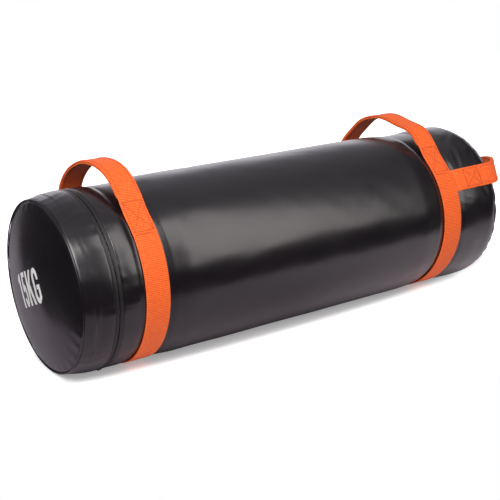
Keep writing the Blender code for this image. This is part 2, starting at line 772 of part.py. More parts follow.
def make_sand(sand):
    outline = filler_profile(FILLER_SKIN + CLEARANCE)
    front = outline[0][0]
    return turned("sand_fill", sand, [(front, 0.0, 0.0), *outline])


def make_neck_tie(cord):
    profile = []
    for index in range(TIE_SIDES):
        turn = math.tau * index / TIE_SIDES
        place = TIE_START + TIE_RADIUS * math.cos(turn)
        radius = FILLER_NECK_RADIUS + CLEARANCE + TIE_RADIUS + TIE_RADIUS * math.sin(turn)
        profile.append((place, radius, 0.0))
    return turned("filler_neck_tie", cord, profile)


def main():
    for item in list(bpy.data.objects):
        bpy.data.objects.remove(item, do_unlink=True)
    leather = make_material("synthetic_leather", "2D2B2D", 0.42)
    webbing = make_material("orange_webbing", "FF6F30", 0.75)
    tape = make_material("zip_tape", "1C1B1C", 0.85)
    coil = make_material("zip_coil", "181818", 0.45)
    metal = make_material("zip_metal", "2A2A2C", 0.35, metallic=1.0)
    foam = make_material("foam", "4A4B4D", 0.95)
    fabric = make_material("filler_fabric", "D8D2C4", 0.9)
    sand = make_material("sand", "C2A878", 1.0)
    cord = make_material("tie_cord", "E6E2D8", 0.85)
    make_cover_body(leather)
    make_lid_band(leather)
    make_lid_panel(leather)
    make_lid_welt(leather)
    make_end_panel(leather)
    make_cover_bridge(leather)
    make_zip(tape, coil, metal)
    for side, middle in zip(("left", "right"), STRAP_MIDDLES):
        make_strap(side, middle, webbing)
    make_end_handle(webbing)
    make_foam_wrap(foam)
    make_lid_pad(foam)
    make_end_pad(foam)
    make_filler_bag(fabric)
    make_sand(sand)
    make_neck_tie(cord)


main()
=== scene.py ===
"""Sandbag trainer, dressed: leather cover, zip, webbing handles, stitching and weight mark.

Metres, +Z up. Places along the bag are distances from the lid's rim, towards +X.
Angles round the bag start at the front (-Y) and climb over the top: 90 degrees is the top.
"""

import json
import math
from collections import namedtuple

import bmesh
import bpy
import numpy as np
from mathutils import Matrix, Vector

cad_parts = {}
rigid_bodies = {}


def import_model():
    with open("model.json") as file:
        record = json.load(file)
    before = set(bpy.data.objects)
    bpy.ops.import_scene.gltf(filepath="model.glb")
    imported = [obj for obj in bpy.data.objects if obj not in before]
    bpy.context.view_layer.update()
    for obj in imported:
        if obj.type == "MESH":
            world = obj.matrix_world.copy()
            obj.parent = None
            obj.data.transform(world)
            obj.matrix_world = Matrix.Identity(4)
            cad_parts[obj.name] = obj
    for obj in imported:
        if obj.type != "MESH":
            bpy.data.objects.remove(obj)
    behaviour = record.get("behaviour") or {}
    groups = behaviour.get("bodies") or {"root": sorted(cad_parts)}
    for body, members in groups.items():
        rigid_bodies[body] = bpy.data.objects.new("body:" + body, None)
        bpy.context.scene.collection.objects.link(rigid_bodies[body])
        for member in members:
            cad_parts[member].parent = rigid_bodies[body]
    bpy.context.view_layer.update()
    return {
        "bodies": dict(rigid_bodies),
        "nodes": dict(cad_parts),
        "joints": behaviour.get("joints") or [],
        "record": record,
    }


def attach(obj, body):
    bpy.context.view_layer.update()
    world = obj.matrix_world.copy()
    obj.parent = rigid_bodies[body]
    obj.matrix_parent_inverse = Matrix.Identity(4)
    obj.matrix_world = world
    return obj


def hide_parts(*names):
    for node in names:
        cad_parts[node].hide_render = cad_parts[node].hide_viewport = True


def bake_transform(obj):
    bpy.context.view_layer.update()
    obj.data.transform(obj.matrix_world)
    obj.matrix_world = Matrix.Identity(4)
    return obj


MM = 0.001
TINY = 1e-9

# Whole bag
BAG_LENGTH = 0.640
BAG_RADIUS = 0.107
MID_LENGTH = BAG_LENGTH / 2
AXIS_HEIGHT = 0.102
FLOOR_GAP = 0.0003
COLUMNS = 192
ROUND = (np.arange(COLUMNS) * math.tau / COLUMNS)[None, :]
RING_STEP = 0.0032
WAIST_RING_STEP = 0.001
LID_RING_STEP = 0.0016

# Cover
LEATHER_THICKNESS = 0.0011
RIM_RADIUS = 0.101
RIM_ROLL = 0.0011
LID_BAND_WIDTH = 0.035
WELT_RADIUS = 0.0008
ZIP_BAND_WIDTH = 0.010
ZIP_BAND_RADIUS = 0.1058
ZIP_LIP_RADIUS = 0.0008
NEAR_TAPER_LENGTH = 0.017
END_ROUND_RADIUS = 0.027
END_CROWN = 0.003
END_SEAM_PLACE = 0.622
END_ROUND_START = BAG_LENGTH - END_CROWN - END_ROUND_RADIUS
SEAM_PLACES = (0.0, LID_BAND_WIDTH, LID_BAND_WIDTH + ZIP_BAND_WIDTH, END_SEAM_PLACE)

# Lid band's soft ridge, with the valley beside it
LID_RIDGE_PLACE = 0.0145
LID_RIDGE_HEIGHT = 0.0004
LID_RIDGE_WIDTH = 0.0016
LID_RIDGE_STRAY = 0.0012
LID_RIDGE_SHARE = 0.65
LID_VALLEY_SHARE = 0.9
LID_VALLEY_SHIFT_SHARE = 1.9

# Lid panel: its crown, the gathers low at its front, one fold and slow waves
LID_PANEL_RADIUS = 0.0993
LID_CROWN = 0.014
LID_EDGE_SETBACK = 0.0009
LID_HUB_SHARE = 0.0009
LID_SEAM_WIDTH = 0.003
LID_SEAM_DEPTH = 0.0016
LID_GATHER_PLACE = math.radians(322)
LID_GATHER_SPREAD = 0.42
LID_GATHER_LEAST_SHARE = 0.12
LID_GATHER_REACH = 0.010
LID_GATHER_DEPTH = 0.0002
LID_FOLD_PLACE = math.radians(70)
LID_FOLD_SPREAD = 0.25
LID_FOLD_START = 0.04
LID_FOLD_LENGTH = 0.05
LID_FOLD_DEPTH = 0.0008
LID_WAVE_START = 0.03
LID_WAVE_DEPTH = 0.0003

# End panel's gathers and waves
END_HUB_SHARE = 0.02
END_GATHER_ROWS = 7
END_WAVE_START = 0.05
END_FADE = 0.03
END_FOLD_DEPTH = 0.0005

# Leather's waves, puckers and creases
WAVE_DEPTH = 0.00012
CROSS_WAVE_DEPTH = 0.00003
WRINKLE_DEPTH = 0.00001
PUCKER_REACH = 0.011
PUCKER_DEPTH = 0.0002
PUCKER_PATCH_SHARE = 0.6
CREASE_LIP_SHARE = 0.45
CREASE_LIP_SHIFT_SHARE = 1.7
CREASE_END_SHARE = 0.15
CREASE_FADE_SHARE = 0.4
STRAP_CALM_SHARE = 0.85

# Leather settling over the filling
CLOTH_ROWS = 126
CLOTH_COLUMNS = 144
CLOTH_CUT_RADIUS = 0.1069
CLOTH_START_DEPTH = 0.00012
SEAM_HOLD = 0.002
CLOTH_SETTINGS = {"quality": 5, "mass": 0.15, "tension_stiffness": 40, "compression_stiffness": 40,
                  "shear_stiffness": 15, "bending_stiffness": 0.5, "air_damping": 2.0, "use_pressure": True,
                  "uniform_pressure_force": 4.0, "vertex_group_mass": "held"}
CLOTH_FRAMES = 24
CLOTH_CAP = 0.0012
PANEL_SLACK_SHARE = 1.006
PANEL_HUB_RADIUS = 0.014

# Webbing
WEBBING_WIDTH = 0.030
WEBBING_THICKNESS = 0.0019
WEBBING_CORNER = 0.0008
LAYER_GAP = 0.0003
LEFT_MIDDLE = 0.088
RIGHT_MIDDLE = 0.540
WAIST_DEPTH = 0.003
WAIST_FLAT = 0.0162
WAIST_EDGE = 0.008
WAIST_EDGE_SHARE = 0.4
WAIST_SHOULDER = 0.034
WAIST_LIFT = 0.0026

# Stitching
STITCH_PITCH = 0.0031
STITCH_SHARE = 0.74
STITCH_RADIUS = 0.00052
STITCH_LIFT = 0.00005
STITCH_RING_SHARES = (-0.72, 0, 0.72)
STITCH_SIDES = 6
STITCH_EDGE = 0.0115
LINING_LIFT = -2 * WEBBING_THICKNESS - LAYER_GAP - STITCH_LIFT
BOX_HALF_WIDTH = 0.012
BOX_ROW_GAP = 0.0035

# Grip handles: degrees from the handle's middle, with the distance of its outer face from the axis in mm
HANDLE_PATH = ((0, 135.9), (15, 134.9), (24, 132.4), (32, 130.3), (39, 128.2), (45, 125.5), (51, 121.2),
               (56, 116.7), (62, 111.3), (66, 108.3), (70, 106.7), (75, 106.3), (190, 106.3))
HANDLE_ANGLE = math.radians(124)
# Each grip's place, the seed of its waves, how far it leans back and how deep it runs flat to a kink
GRIPS = {"left": (LEFT_MIDDLE, 80, 0.0, 0.0), "right": (RIGHT_MIDDLE, 90, 0.0036, 0.0048)}
STRAP_START = -214
STRAP_STEP = 0.75
STRAP_TURNS = np.arange(STRAP_START, STRAP_START + 360, STRAP_STEP)
LOOSE_END = 66
LOOSE_RISE = 30
LEAN_START = 36
LEAN_RISE = 64
LEAN_FALL = 40
FLAT_MIDDLE = -34
FLAT_REACH = 17
FLAT_POWER = 1.5
HANDLE_WAVE = 0.0004
HANDLE_SWAY = 0.0012
FLOOR_EASE = 0.0006
LINING_TURN = 58
STITCH_TURN = 57
BOX_TURNS = (81.6, 61.6)

# End handle
END_STRIP_ANGLE = math.radians(33.5)
END_STRIP_START = 0.5553
END_LEAVE_PLACE = 0.603
END_LOOP_START = 0.6202
END_LOOP_LENGTH = 0.0425
END_LOOP_REACH = 0.110
END_LOOP_POWER = 2.5
END_LOOP_RISE = 0.0266
END_LOOP_LEAN = 0.4223
END_LINING_PLACE = 0.627
END_BOX_PLACES = (0.574, 0.600)
END_STITCH_PLACE = 0.606
END_STITCH_INSET = 0.003
END_STEP = 0.002

# Zip
ZIP_CLOSED_ANGLE = math.radians(168)
ZIP_OPEN_ANGLE = math.radians(-64)
ZIP_STEP_ANGLE = math.radians(1.5)
ZIP_MIDDLE = LID_BAND_WIDTH + ZIP_BAND_WIDTH / 2
SLIT_HALF = 0.0005
TAPE_THICKNESS = 0.0010
TAPE_RECESS = 0.0003
TAPE_CORNER = 0.0003
TAPE_EDGE_GAP = 0.0001
BRIDGE_EDGE_GAP = 0.0003
BRIDGE_END_ANGLE = 0.004
COIL_RADIUS = 0.10325
COIL_HALF_HEIGHT = 0.0004
COIL_INNER_EDGE = 0.0009
COIL_OUTER_EDGE = 0.0034
COIL_WIRE = 0.0003
COIL_PITCH = 0.0014
COIL_STEPS = 8
COIL_END_GAP = 0.003
TUBE_HINT = (0.31, 0.17, 0.93)

# Weight mark
MARK_WIDTH = 0.0645
MARK_HEIGHT = 0.0403
MARK_SLANT = math.radians(24.77)
MARK_MIDDLE_Y = 0.0109
MARK_MIDDLE_Z = AXIS_HEIGHT - 0.0018
MARK_LIFT = 0.00018
MARK_SINK = 0.0002
MARK_CELL_SHARE = 0.045
MARK_MERGE_SHARE = 0.004

# Padding and filling
WALL_GAP = 0.0023
FOAM_THICKNESS = 0.0127
FILLER_RADIUS = BAG_RADIUS - WALL_GAP - FOAM_THICKNESS - LAYER_GAP
PAD_START = LID_BAND_WIDTH + ZIP_BAND_WIDTH + 0.003
PAD_END = BAG_LENGTH - 0.042
PAD_CORNER = 0.004
PAD_STEP = 0.006
PAD_HUB = 0.003
LID_PAD_DEPTH = 0.020
HUB_SHARE = 0.03
END_PAD_FACE_SHARE = 0.9
FILLER_START = 0.040
FILLER_END = PAD_END - 0.002
FILLER_EDGE = 0.012
FILLER_INSET = 0.03
FILLER_FLAT_SHARE = 0.85
SAND_GAP = 0.0024
SACK_THICKNESS = 0.0006
SACK_FOLDS = 17
SACK_FOLD_DEPTH = 0.0011
SACK_DROP = 0.0012
SACK_FOLD_REACH = 0.02
SACK_FOLD_STRAY = 0.6
SACK_FOLD_END_SHARE = 1.3
SACK_MOUTH_SHARES = (0.8, 0.24)
NECK_RADIUS = 0.0135
NECK_PLACES = (0.037, 0.025)
NECK_PINCH = 0.0008
NECK_PINCH_REACH = 0.005
TIE_PLACE = 0.029
TIE_RADIUS = 0.0014
TIE_TURNS = 3
TIE_REACH = 0.0034
TIE_GAP = 0.0002

# Surface patterns, in metres
PEBBLE_SIZE = 0.0009
PORE_SIZE = 0.0004
GRAIN_DEPTH = 0.000004
STRETCH_SIZE = 0.009
STRETCH_DEPTH = 0.000026
WEAR_SIZE = 0.035
RIB_PITCH = 0.002
RIB_SLANT = 0.06
WARP_PITCH = 0.0008
RIB_DEPTH = 0.0002
MOTTLE_SIZE = 0.004
TWIST_PITCH = 0.0005
TWIST_DEPTH = 0.00006
TWILL_PITCH = 0.0007
TWILL_DEPTH = 0.00002
RUB_SIZE = 0.006
CAST_SIZE = 0.0006
CAST_DEPTH = 0.00001
INK_DEPTH = 0.00002
CELL_SIZE = 0.001
CELL_DEPTH = 0.0003
SACK_PITCH = 0.0024
SACK_DEPTH = 0.0001
GRAIN_SIZE = 0.0012
SAND_DEPTH = 0.0004
STRAND_PITCH = 0.001
STRAND_DEPTH = 0.0002

# Studio
LENS_LENGTH = 75.54
SENSOR_WIDTH = 36
CAMERA_PLACE = (-0.7653, -1.0413, 0.5239)
CAMERA_HEADING = (0.5431, 0.7753, -0.3223)
SOFTBOX_AIM = (0, 0, 0.1)
SOFTBOXES = (
    ("front_softbox", (0.71, -1.19, 1.20), (0.76, 1.95), 12, "FFF8F6"),
    ("high_softbox", (-0.88, -0.95, 1.42), (1.0, 1.0), 25, "FFFCFA"),
    ("left_softbox", (-1.50, -0.50, 1.10), (0.8, 0.8), 10, "FFFFFF"),
)
ROOM_LIGHT = 0.04
ROOM_TINT = "FAF6FF"
CEILING_LIGHT = 0.36
CEILING_END_LIGHT = 0.06
CEILING_HEIGHTS = (-0.02, 0.6)
CEILING_SIDES = (0.60, 0.76)
BACKDROP_HEADING = (0.574, 0.819, 0.0)
BACKDROP_FACINGS = (0.6, 0.9)
BACKDROP_HEIGHTS = (0.2, 0.5)
TABLE_COLOUR = "F0F0F0"
TABLE_CORNERS = ((-0.40, -0.31), (2.0, -0.31), (2.0, 2.0), (-0.56, 2.0))
TABLE_CLEAR = (0.38, 0.055)
TABLE_CLEAR_MIDDLE = -0.05
TABLE_FADE_SHARE = 1.45
# Run along the table over which the colour that the bag mirrors is painted, from shade at the lid's end to
# light at the far end
TABLE_PAINTED_LIGHT_RUN = (0.0, 0.36)
TABLE_GLOW = 0.30

# Waves over the leather and webbing: seed, fewest and most round the bag, shortest and longest along it
# in metres, and how many are added up
RIPPLES = {
    "slow_waves": (3, (3, 8), (0.10, 0.30), 24),
    "cross_waves": (5, (8, 20), (0.035, 0.09), 24),
    "wrinkles": (7, (10, 34), (0.009, 0.022), 40),
    "wrinkle_patches": (9, (2, 6), (0.10, 0.25), 8),
    "tube_start": (15, (9, 26), (0.06, 0.3), 30),
    "band_start": (16, (9, 26), (0.06, 0.3), 30),
    "ridge_stray": (21, (2, 6), (0.2, 0.4), 6),
    "ridge_strength": (22, (2, 5), (0.2, 0.4), 6),
    "lid_gathers": (31, (24, 40), (0.10, 0.30), 12),
    "lid_waves": (33, (1, 4), (0.06, 0.15), 10),
    "puckers": (40, (26, 54), (0.06, 0.20), 10),
    "pucker_patches": (60, (2, 7), (0.2, 0.4), 5),
    "end_gathers": (71, (20, 44), (0.10, 0.3), 12),
    "end_waves": (73, (2, 6), (0.05, 0.12), 12),
    "handle_wave": (0, (5, 17), (0.2, 0.4), 8),
    "handle_sway": (1, (1, 5), (0.2, 0.4), 5),
}

# Creases: place and angle of both ends, width and depth, in millimetres and degrees
CREASES = (
    (47, 5, 71, 3, 2.2, 0.7),
    (47, 21, 58, 17, 1.6, 0.4),
    (48, 66, 60, 60, 2.5, 0.5),
    (3, 62, 30, 70, 4.0, 0.4),
    (5, 84, 33, 90, 3.5, 0.4),
    (4, 30, 22, 25, 3.0, 0.25),
    (4, -38, 30, -33, 3.0, 0.3),
    (8, -20, 31, -22, 2.2, 0.2),
    (574, 42, 583, 60, 2.2, 1.0),
    (558, 21, 577, 16, 2.2, 0.8),
    (600, 24, 621, 10, 2.2, 0.9),
    (604, 52, 626, 60, 2.6, 0.8),
    (575, 66, 612, 80, 4.0, 0.5),
    (590, -18, 622, -30, 3.4, 0.5),
    (104, 70, 130, 84, 3.0, 0.2),
    (502, 76, 524, 66, 3.0, 0.25),
    (106, -20, 128, -28, 3.0, 0.4),
    (500, 5, 524, 10, 2.6, 0.4),
    (190, 96, 240, 120, 4.0, 0.35),
    (300, 100, 380, 82, 4.0, 0.15),
    (400, 150, 450, 190, 5.0, 0.5),
    (150, 200, 220, 170, 5.0, 0.5),
)


def srgb(code):
    """Turn an sRGB hex colour into linear light."""
    channels = [int(code[index:index + 2], 16) / 255 for index in (0, 2, 4)]
    return tuple(c / 12.92 if c <= 0.04045 else ((c + 0.055) / 1.055) ** 2.4 for c in channels) + (1.0,)


def smooth(share):
    """Ease from 0 to 1 with level ends."""
    share = np.clip(share, 0.0, 1.0)
    return share * share * (3 - 2 * share)


def unit(vectors):
    """Vectors brought to a length of one."""
    return vectors / np.maximum(np.linalg.norm(vectors, axis=-1, keepdims=True), TINY)


def lengths_along(points):
    """Length of a line of points so far, at each of them."""
    return np.concatenate([[0.0], np.cumsum(np.linalg.norm(np.diff(points, axis=0), axis=1))])


def places_between(start, end, step):
    """Even places from a start to an end, about a step apart."""
    return np.linspace(start, end, max(2, round((end - start) / step)) + 1)


def round_points(place, radius, angle):
    """Points round the bag's axis, from arrays of places, radii and angles."""
    place, radius, angle = np.broadcast_arrays(place, radius, angle)
    across, up = -radius * np.cos(angle), radius * np.sin(angle)
    return np.stack([place - MID_LENGTH, across, AXIS_HEIGHT + up], axis=-1)


def lay_down(grid, height=FLOOR_GAP):
    """Press a grid flat where it would sink below a height."""
    grid[..., 2] = np.maximum(grid[..., 2], height)
    return grid


def place_object(name, data):
    """Put a mesh, a lamp or a camera in the scene."""
    item = bpy.data.objects.new(name, data)
    bpy.context.collection.objects.link(item)
    return item


def mesh_object(name, points, faces, material, weave=None):
    """Make an object from points and faces, with its faces pointing out."""
    mesh = bpy.data.meshes.new(name)
    mesh.from_pydata([tuple(point) for point in points], [], faces)
    work = bmesh.new()
    work.from_mesh(mesh)
    bmesh.ops.recalc_face_normals(work, faces=work.faces)
    work.to_mesh(mesh)
    work.free()
    mesh.shade_smooth()
    mesh.materials.append(material)
    if weave is not None:
        attribute = mesh.attributes.new("weave", "FLOAT_VECTOR", "POINT")
        attribute.data.foreach_set("vector", weave.astype(np.float32).ravel())
    return place_object(name, mesh)


def grid_normals(grid):
    """Outward directions of a grid of rings round the bag."""
    across = np.roll(grid, -1, axis=1) - np.roll(grid, 1, axis=1)
    return unit(np.cross(np.gradient(grid, axis=0), across))


def ring_faces(rows, columns, first=0, closed=False):
    """Quads between rings of points that follow each other, and from the last to the first if closed."""
    faces = []
    for row in range(rows if closed else rows - 1):
        low = first + row * columns
        high = first + (row + 1) % rows * columns
        for column in range(columns):
            after = (column + 1) % columns
            faces.append([low + column, low + after, high + after, high + column])
    return faces


def fan_faces(centre, start, columns):
    """Triangles from a point to each side of a ring."""
    return [[centre, start + column, start + (column + 1) % columns] for column in range(columns)]


def bar(name, grid, material, closed=False, weave=None):
    """Solid bar through rings of points, joined in a loop or with flat ends."""
    rows, columns = grid.shape[:2]
    faces = ring_faces(rows, columns, closed=closed)
    if not closed:
        faces += [list(range(columns)), list(range((rows - 1) * columns, rows * columns))]
    return mesh_object(name, grid.reshape(-1, 3), faces, material, weave)


def shell(name, grid, thickness, material, capped=False, normals=None):
    """Close a grid of rings into a thin shell. If capped, the first ring is closed by a flat cone."""
    rows, columns = grid.shape[:2]
    normals = grid_normals(grid) if normals is None else normals
    points = np.concatenate([grid.reshape(-1, 3), (grid - normals * thickness).reshape(-1, 3)])
    half = rows * columns
    faces = ring_faces(rows, columns) + ring_faces(rows, columns, half)
    joins = [half - columns]
    if capped:
        tip = grid[0].mean(axis=0)
        points = np.concatenate([points, [tip, tip - unit(normals[0].mean(axis=0)) * thickness]])
        faces += fan_faces(2 * half, 0, columns) + fan_faces(2 * half + 1, half, columns)
    else:
        joins.append(0)
    for start in joins:
        for column in range(start, start + columns):
            after = start + (column + 1 - start) % columns
            faces.append([column, after, half + after, half + column])
    return mesh_object(name, points, faces, material)


def ripple(name, place, angle, later=0):
    """Seeded sum of waves that close round the bag, of even strength about zero."""
    seed, turns, lengths, count = RIPPLES[name]
    chance = np.random.default_rng(seed + later)
    total = np.zeros(np.broadcast(place, angle).shape)
    for _ in range(count):
        around = chance.integers(turns[0], turns[1] + 1)
        along = chance.choice((-1, 1)) * math.tau / chance.uniform(*lengths)
        total += np.cos(around * angle + along * place + chance.uniform(0, math.tau))
    return total / math.sqrt(count / 2)


# Cover

def waist_share(place):
    """How far a strap draws the cover in: 1 under it, less beside its edge, 0 past its shoulders."""
    past = np.minimum(np.abs(place - LEFT_MIDDLE), np.abs(place - RIGHT_MIDDLE)) - WAIST_FLAT
    beside = WAIST_EDGE_SHARE * smooth(past / WAIST_EDGE)
    return 1 - beside - (1 - WAIST_EDGE_SHARE) * smooth(past / WAIST_SHOULDER)


def cover_radius(place):
    """Radius of the plain cover at a distance from the lid's rim."""
    place = np.asarray(place, dtype=float)
    lid_share = np.sin(math.pi / 2 * np.clip(place / LID_BAND_WIDTH, 0, 1))
    near = RIM_RADIUS + (ZIP_BAND_RADIUS - RIM_RADIUS) * lid_share
    taper = smooth((place - LID_BAND_WIDTH - ZIP_BAND_WIDTH) / NEAR_TAPER_LENGTH)
    radius = np.where(place < LID_BAND_WIDTH, near, ZIP_BAND_RADIUS + (BAG_RADIUS - ZIP_BAND_RADIUS) * taper)
    run = np.clip(place - END_ROUND_START, 0, END_ROUND_RADIUS)
    rounded = BAG_RADIUS - END_ROUND_RADIUS + np.sqrt(END_ROUND_RADIUS ** 2 - run ** 2)
    radius = np.where(place > END_ROUND_START, rounded, radius)
    return radius - WAIST_DEPTH * waist_share(place)


def crease_depth(place, angle):
    """Depth of the drawn creases, each a valley with a soft lip beside it."""
    total = np.zeros(np.broadcast(place, angle).shape)
    for place_a, angle_a, place_b, angle_b, width, depth in CREASES:
        turn = (angle - math.radians(angle_a) + math.pi) % math.tau - math.pi
        offset = np.stack(np.broadcast_arrays(place - place_a * MM, turn * BAG_RADIUS), axis=-1)
        run = np.array(((place_b - place_a) * MM, math.radians(angle_b - angle_a) * BAG_RADIUS))
        length = np.linalg.norm(run)
        along = offset @ run / length ** 2
        aside = (offset[..., 0] * run[1] - offset[..., 1] * run[0]) / length / (width * MM)
        fade = smooth((along + CREASE_END_SHARE) / CREASE_FADE_SHARE)
        fade = fade * smooth((1 + CREASE_END_SHARE - along) / CREASE_FADE_SHARE)
        lip = CREASE_LIP_SHARE * np.exp(-(aside - CREASE_LIP_SHIFT_SHARE) ** 2)
        total += depth * MM * fade * (lip - np.exp(-aside ** 2))
    return total


def pucker_depth(place, angle):
    """Small gathers that fade away from each seam and strap edge."""
    total = np.zeros(np.broadcast(place, angle).shape)
    edges = list(SEAM_PLACES)
    for middle in (LEFT_MIDDLE, RIGHT_MIDDLE):
        edges += [middle - WEBBING_WIDTH / 2, middle + WEBBING_WIDTH / 2]
    for index, edge in enumerate(edges):
        patches = smooth(0.5 + PUCKER_PATCH_SHARE * ripple("pucker_patches", 0.0, angle, index))
        gathers = ripple("puckers", place, angle, index)
        total += np.exp(-np.abs(place - edge) / PUCKER_REACH) * gathers * patches
    return PUCKER_DEPTH * total


def wave_depth(place, angle):
    """Slow waves and cross wrinkles of leather drawn over a firm filling."""
    patches = smooth(0.5 + 0.5 * ripple("wrinkle_patches", place, angle))
    swell = WAVE_DEPTH * ripple("slow_waves", place, angle)
    swell += CROSS_WAVE_DEPTH * ripple("cross_waves", place, angle)
    return swell + WRINKLE_DEPTH * ripple("wrinkles", place, angle) * patches


def worn(grid, places):
    """A cover's grid with its waves, puckers and creases, laid flat where it rests."""
    place = places[:, None]
    under = waist_share(place)
    swell = wave_depth(place, ROUND) + pucker_depth(place, ROUND) + crease_depth(place, ROUND)
    grid = grid + grid_normals(grid) * ((1 - STRAP_CALM_SHARE * under) * swell)[..., None]
    return lay_down(grid, FLOOR_GAP + WAIST_LIFT * under)


def relax_cloth(start, cut, held):
    """Let rings settle as cloth filled with pressure: they start as one shape and were cut as another."""
    rows, columns = start.shape[:2]
    item = mesh_object("settling_cover", start.reshape(-1, 3), ring_faces(rows, columns), None)
    item.shape_key_add(name="start")
    pattern = item.shape_key_add(name="cut")
    pattern.data.foreach_set("co", cut.astype(np.float32).ravel())
    pins = item.vertex_groups.new(name="held")
    for index in np.flatnonzero(np.broadcast_to(held, (rows, columns)).ravel()):
        pins.add([int(index)], 1.0, "REPLACE")
    cloth = item.modifiers.new("settling", "CLOTH")
    for name, value in CLOTH_SETTINGS.items():
        setattr(cloth.settings, name, value)
    cloth.settings.rest_shape_key = pattern
    cloth.settings.effector_weights.gravity = 0
    cloth.collision_settings.use_collision = False
    scene = bpy.context.scene
    for frame in range(1, CLOTH_FRAMES + 1):
        scene.frame_set(frame)
    settled = item.evaluated_get(bpy.context.evaluated_depsgraph_get())
    points = np.zeros(rows * columns * 3, dtype=np.float32)
    settled.data.vertices.foreach_get("co", points)
    scene.frame_set(1)
    bpy.data.objects.remove(item)
    return points.reshape(rows, columns, 3).astype(float)


def settle(plain, seeds, cut, held):
    """How far a grid moves as it settles from seeded waves, held to a cap that keeps it off the padding."""
    shift = relax_cloth(plain + seeds, cut, held) - plain
    size = np.linalg.norm(shift, axis=2, keepdims=True)
    return shift * np.tanh(size / CLOTH_CAP) * CLOTH_CAP / np.maximum(size, TINY)


def finer(grid, spot, columns):
    """Smoothly read a grid of values that closes round the bag at new rows and columns."""
    spectrum = np.fft.rfft(grid, axis=1)
    padded = np.zeros((grid.shape[0], columns // 2 + 1, grid.shape[2]), dtype=complex)
    padded[:, :spectrum.shape[1]] = spectrum
    around = np.fft.irfft(padded, n=columns, axis=1) * columns / grid.shape[1]
    low = np.clip(np.floor(spot).astype(int), 0, grid.shape[0] - 2)
    share = (spot - low)[:, None, None]
    near = [around[np.clip(low + step, 0, grid.shape[0] - 1)] for step in (-1, 0, 1, 2)]
    slope_in = (near[2] - near[0]) / 2
    slope_out = (near[3] - near[1]) / 2
    return ((1 + 2 * share) * (1 - share) ** 2 * near[1] + share * (1 - share) ** 2 * slope_in
            + share ** 2 * (3 - 2 * share) * near[2] + share ** 2 * (share - 1) * slope_out)


def settled_tube(places):
    """The tube's plain grid, cut straight, gathered under its straps and filled out between them."""
    plain = round_points(places[:, None], cover_radius(places)[:, None], ROUND)
    coarse = np.linspace(places[0], places[-1], CLOTH_ROWS)
    angle = (np.arange(CLOTH_COLUMNS) * math.tau / CLOTH_COLUMNS)[None, :]
    ideal = round_points(coarse[:, None], cover_radius(coarse)[:, None], angle)
    waves = CLOTH_START_DEPTH * ripple("tube_start", coarse[:, None], angle)
    lengths = coarse[0] + lengths_along(np.stack([coarse, cover_radius(coarse)], axis=1))
    cut = round_points(lengths[:, None], np.full((CLOTH_ROWS, 1), CLOTH_CUT_RADIUS), angle)
    edge = np.minimum(coarse - coarse[0], coarse[-1] - coarse) < SEAM_HOLD
    strap = np.minimum(np.abs(coarse - LEFT_MIDDLE), np.abs(coarse - RIGHT_MIDDLE)) < WEBBING_WIDTH / 2
    shift = settle(ideal, grid_normals(ideal) * waves[..., None], cut, (edge | strap)[:, None])
    spot = (places - places[0]) / (places[-1] - places[0]) * (CLOTH_ROWS - 1)
    return plain + finer(shift, spot, COLUMNS)


def rolled_edge(grid, radius, steps, at_start):
    """Turn the edge of a grid in, as leather folds under at a seam."""
    row, beside = (0, 1) if at_start else (-1, -2)
    normals = grid_normals(grid)[row]
    outward = unit(grid[row] - grid[beside])
    rings = []
    for index in range(1, steps + 1):
        turn = math.pi / 2 * index / steps
        rings.append(grid[row] + radius * (outward * math.sin(turn) - normals * (1 - math.cos(turn))))
    rings.append(rings[-1] - normals * radius)
    if at_start:
        return np.concatenate([rings[::-1], grid])
    return np.concatenate([grid, rings])


def tube_places(start, end):
    """Places of the tube's rings, closer together beside the straps."""
    ends = [start]
    for middle in (LEFT_MIDDLE, RIGHT_MIDDLE):
        for reach in (-WAIST_FLAT - WAIST_EDGE, -WAIST_FLAT, WAIST_FLAT, WAIST_FLAT + WAIST_EDGE):
            ends.append(middle + reach)
    ends.append(end)
    runs = []
    for index in range(len(ends) - 1):
        step = WAIST_RING_STEP if index % 2 else RING_STEP
        runs.append(places_between(ends[index], ends[index + 1], step)[:-1])
    return np.concatenate([*runs, [end]])


def make_cover_tube(leather):
    """The cover's long tube, with both its edges turned in."""
    places = tube_places(LID_BAND_WIDTH + ZIP_BAND_WIDTH + ZIP_LIP_RADIUS, END_SEAM_PLACE - ZIP_LIP_RADIUS)
    grid = worn(settled_tube(places), places)
    grid = rolled_edge(grid, ZIP_LIP_RADIUS, 3, True)
    grid = rolled_edge(grid, ZIP_LIP_RADIUS, 3, False)
    return shell("cover_tube", grid, LEATHER_THICKNESS, leather)


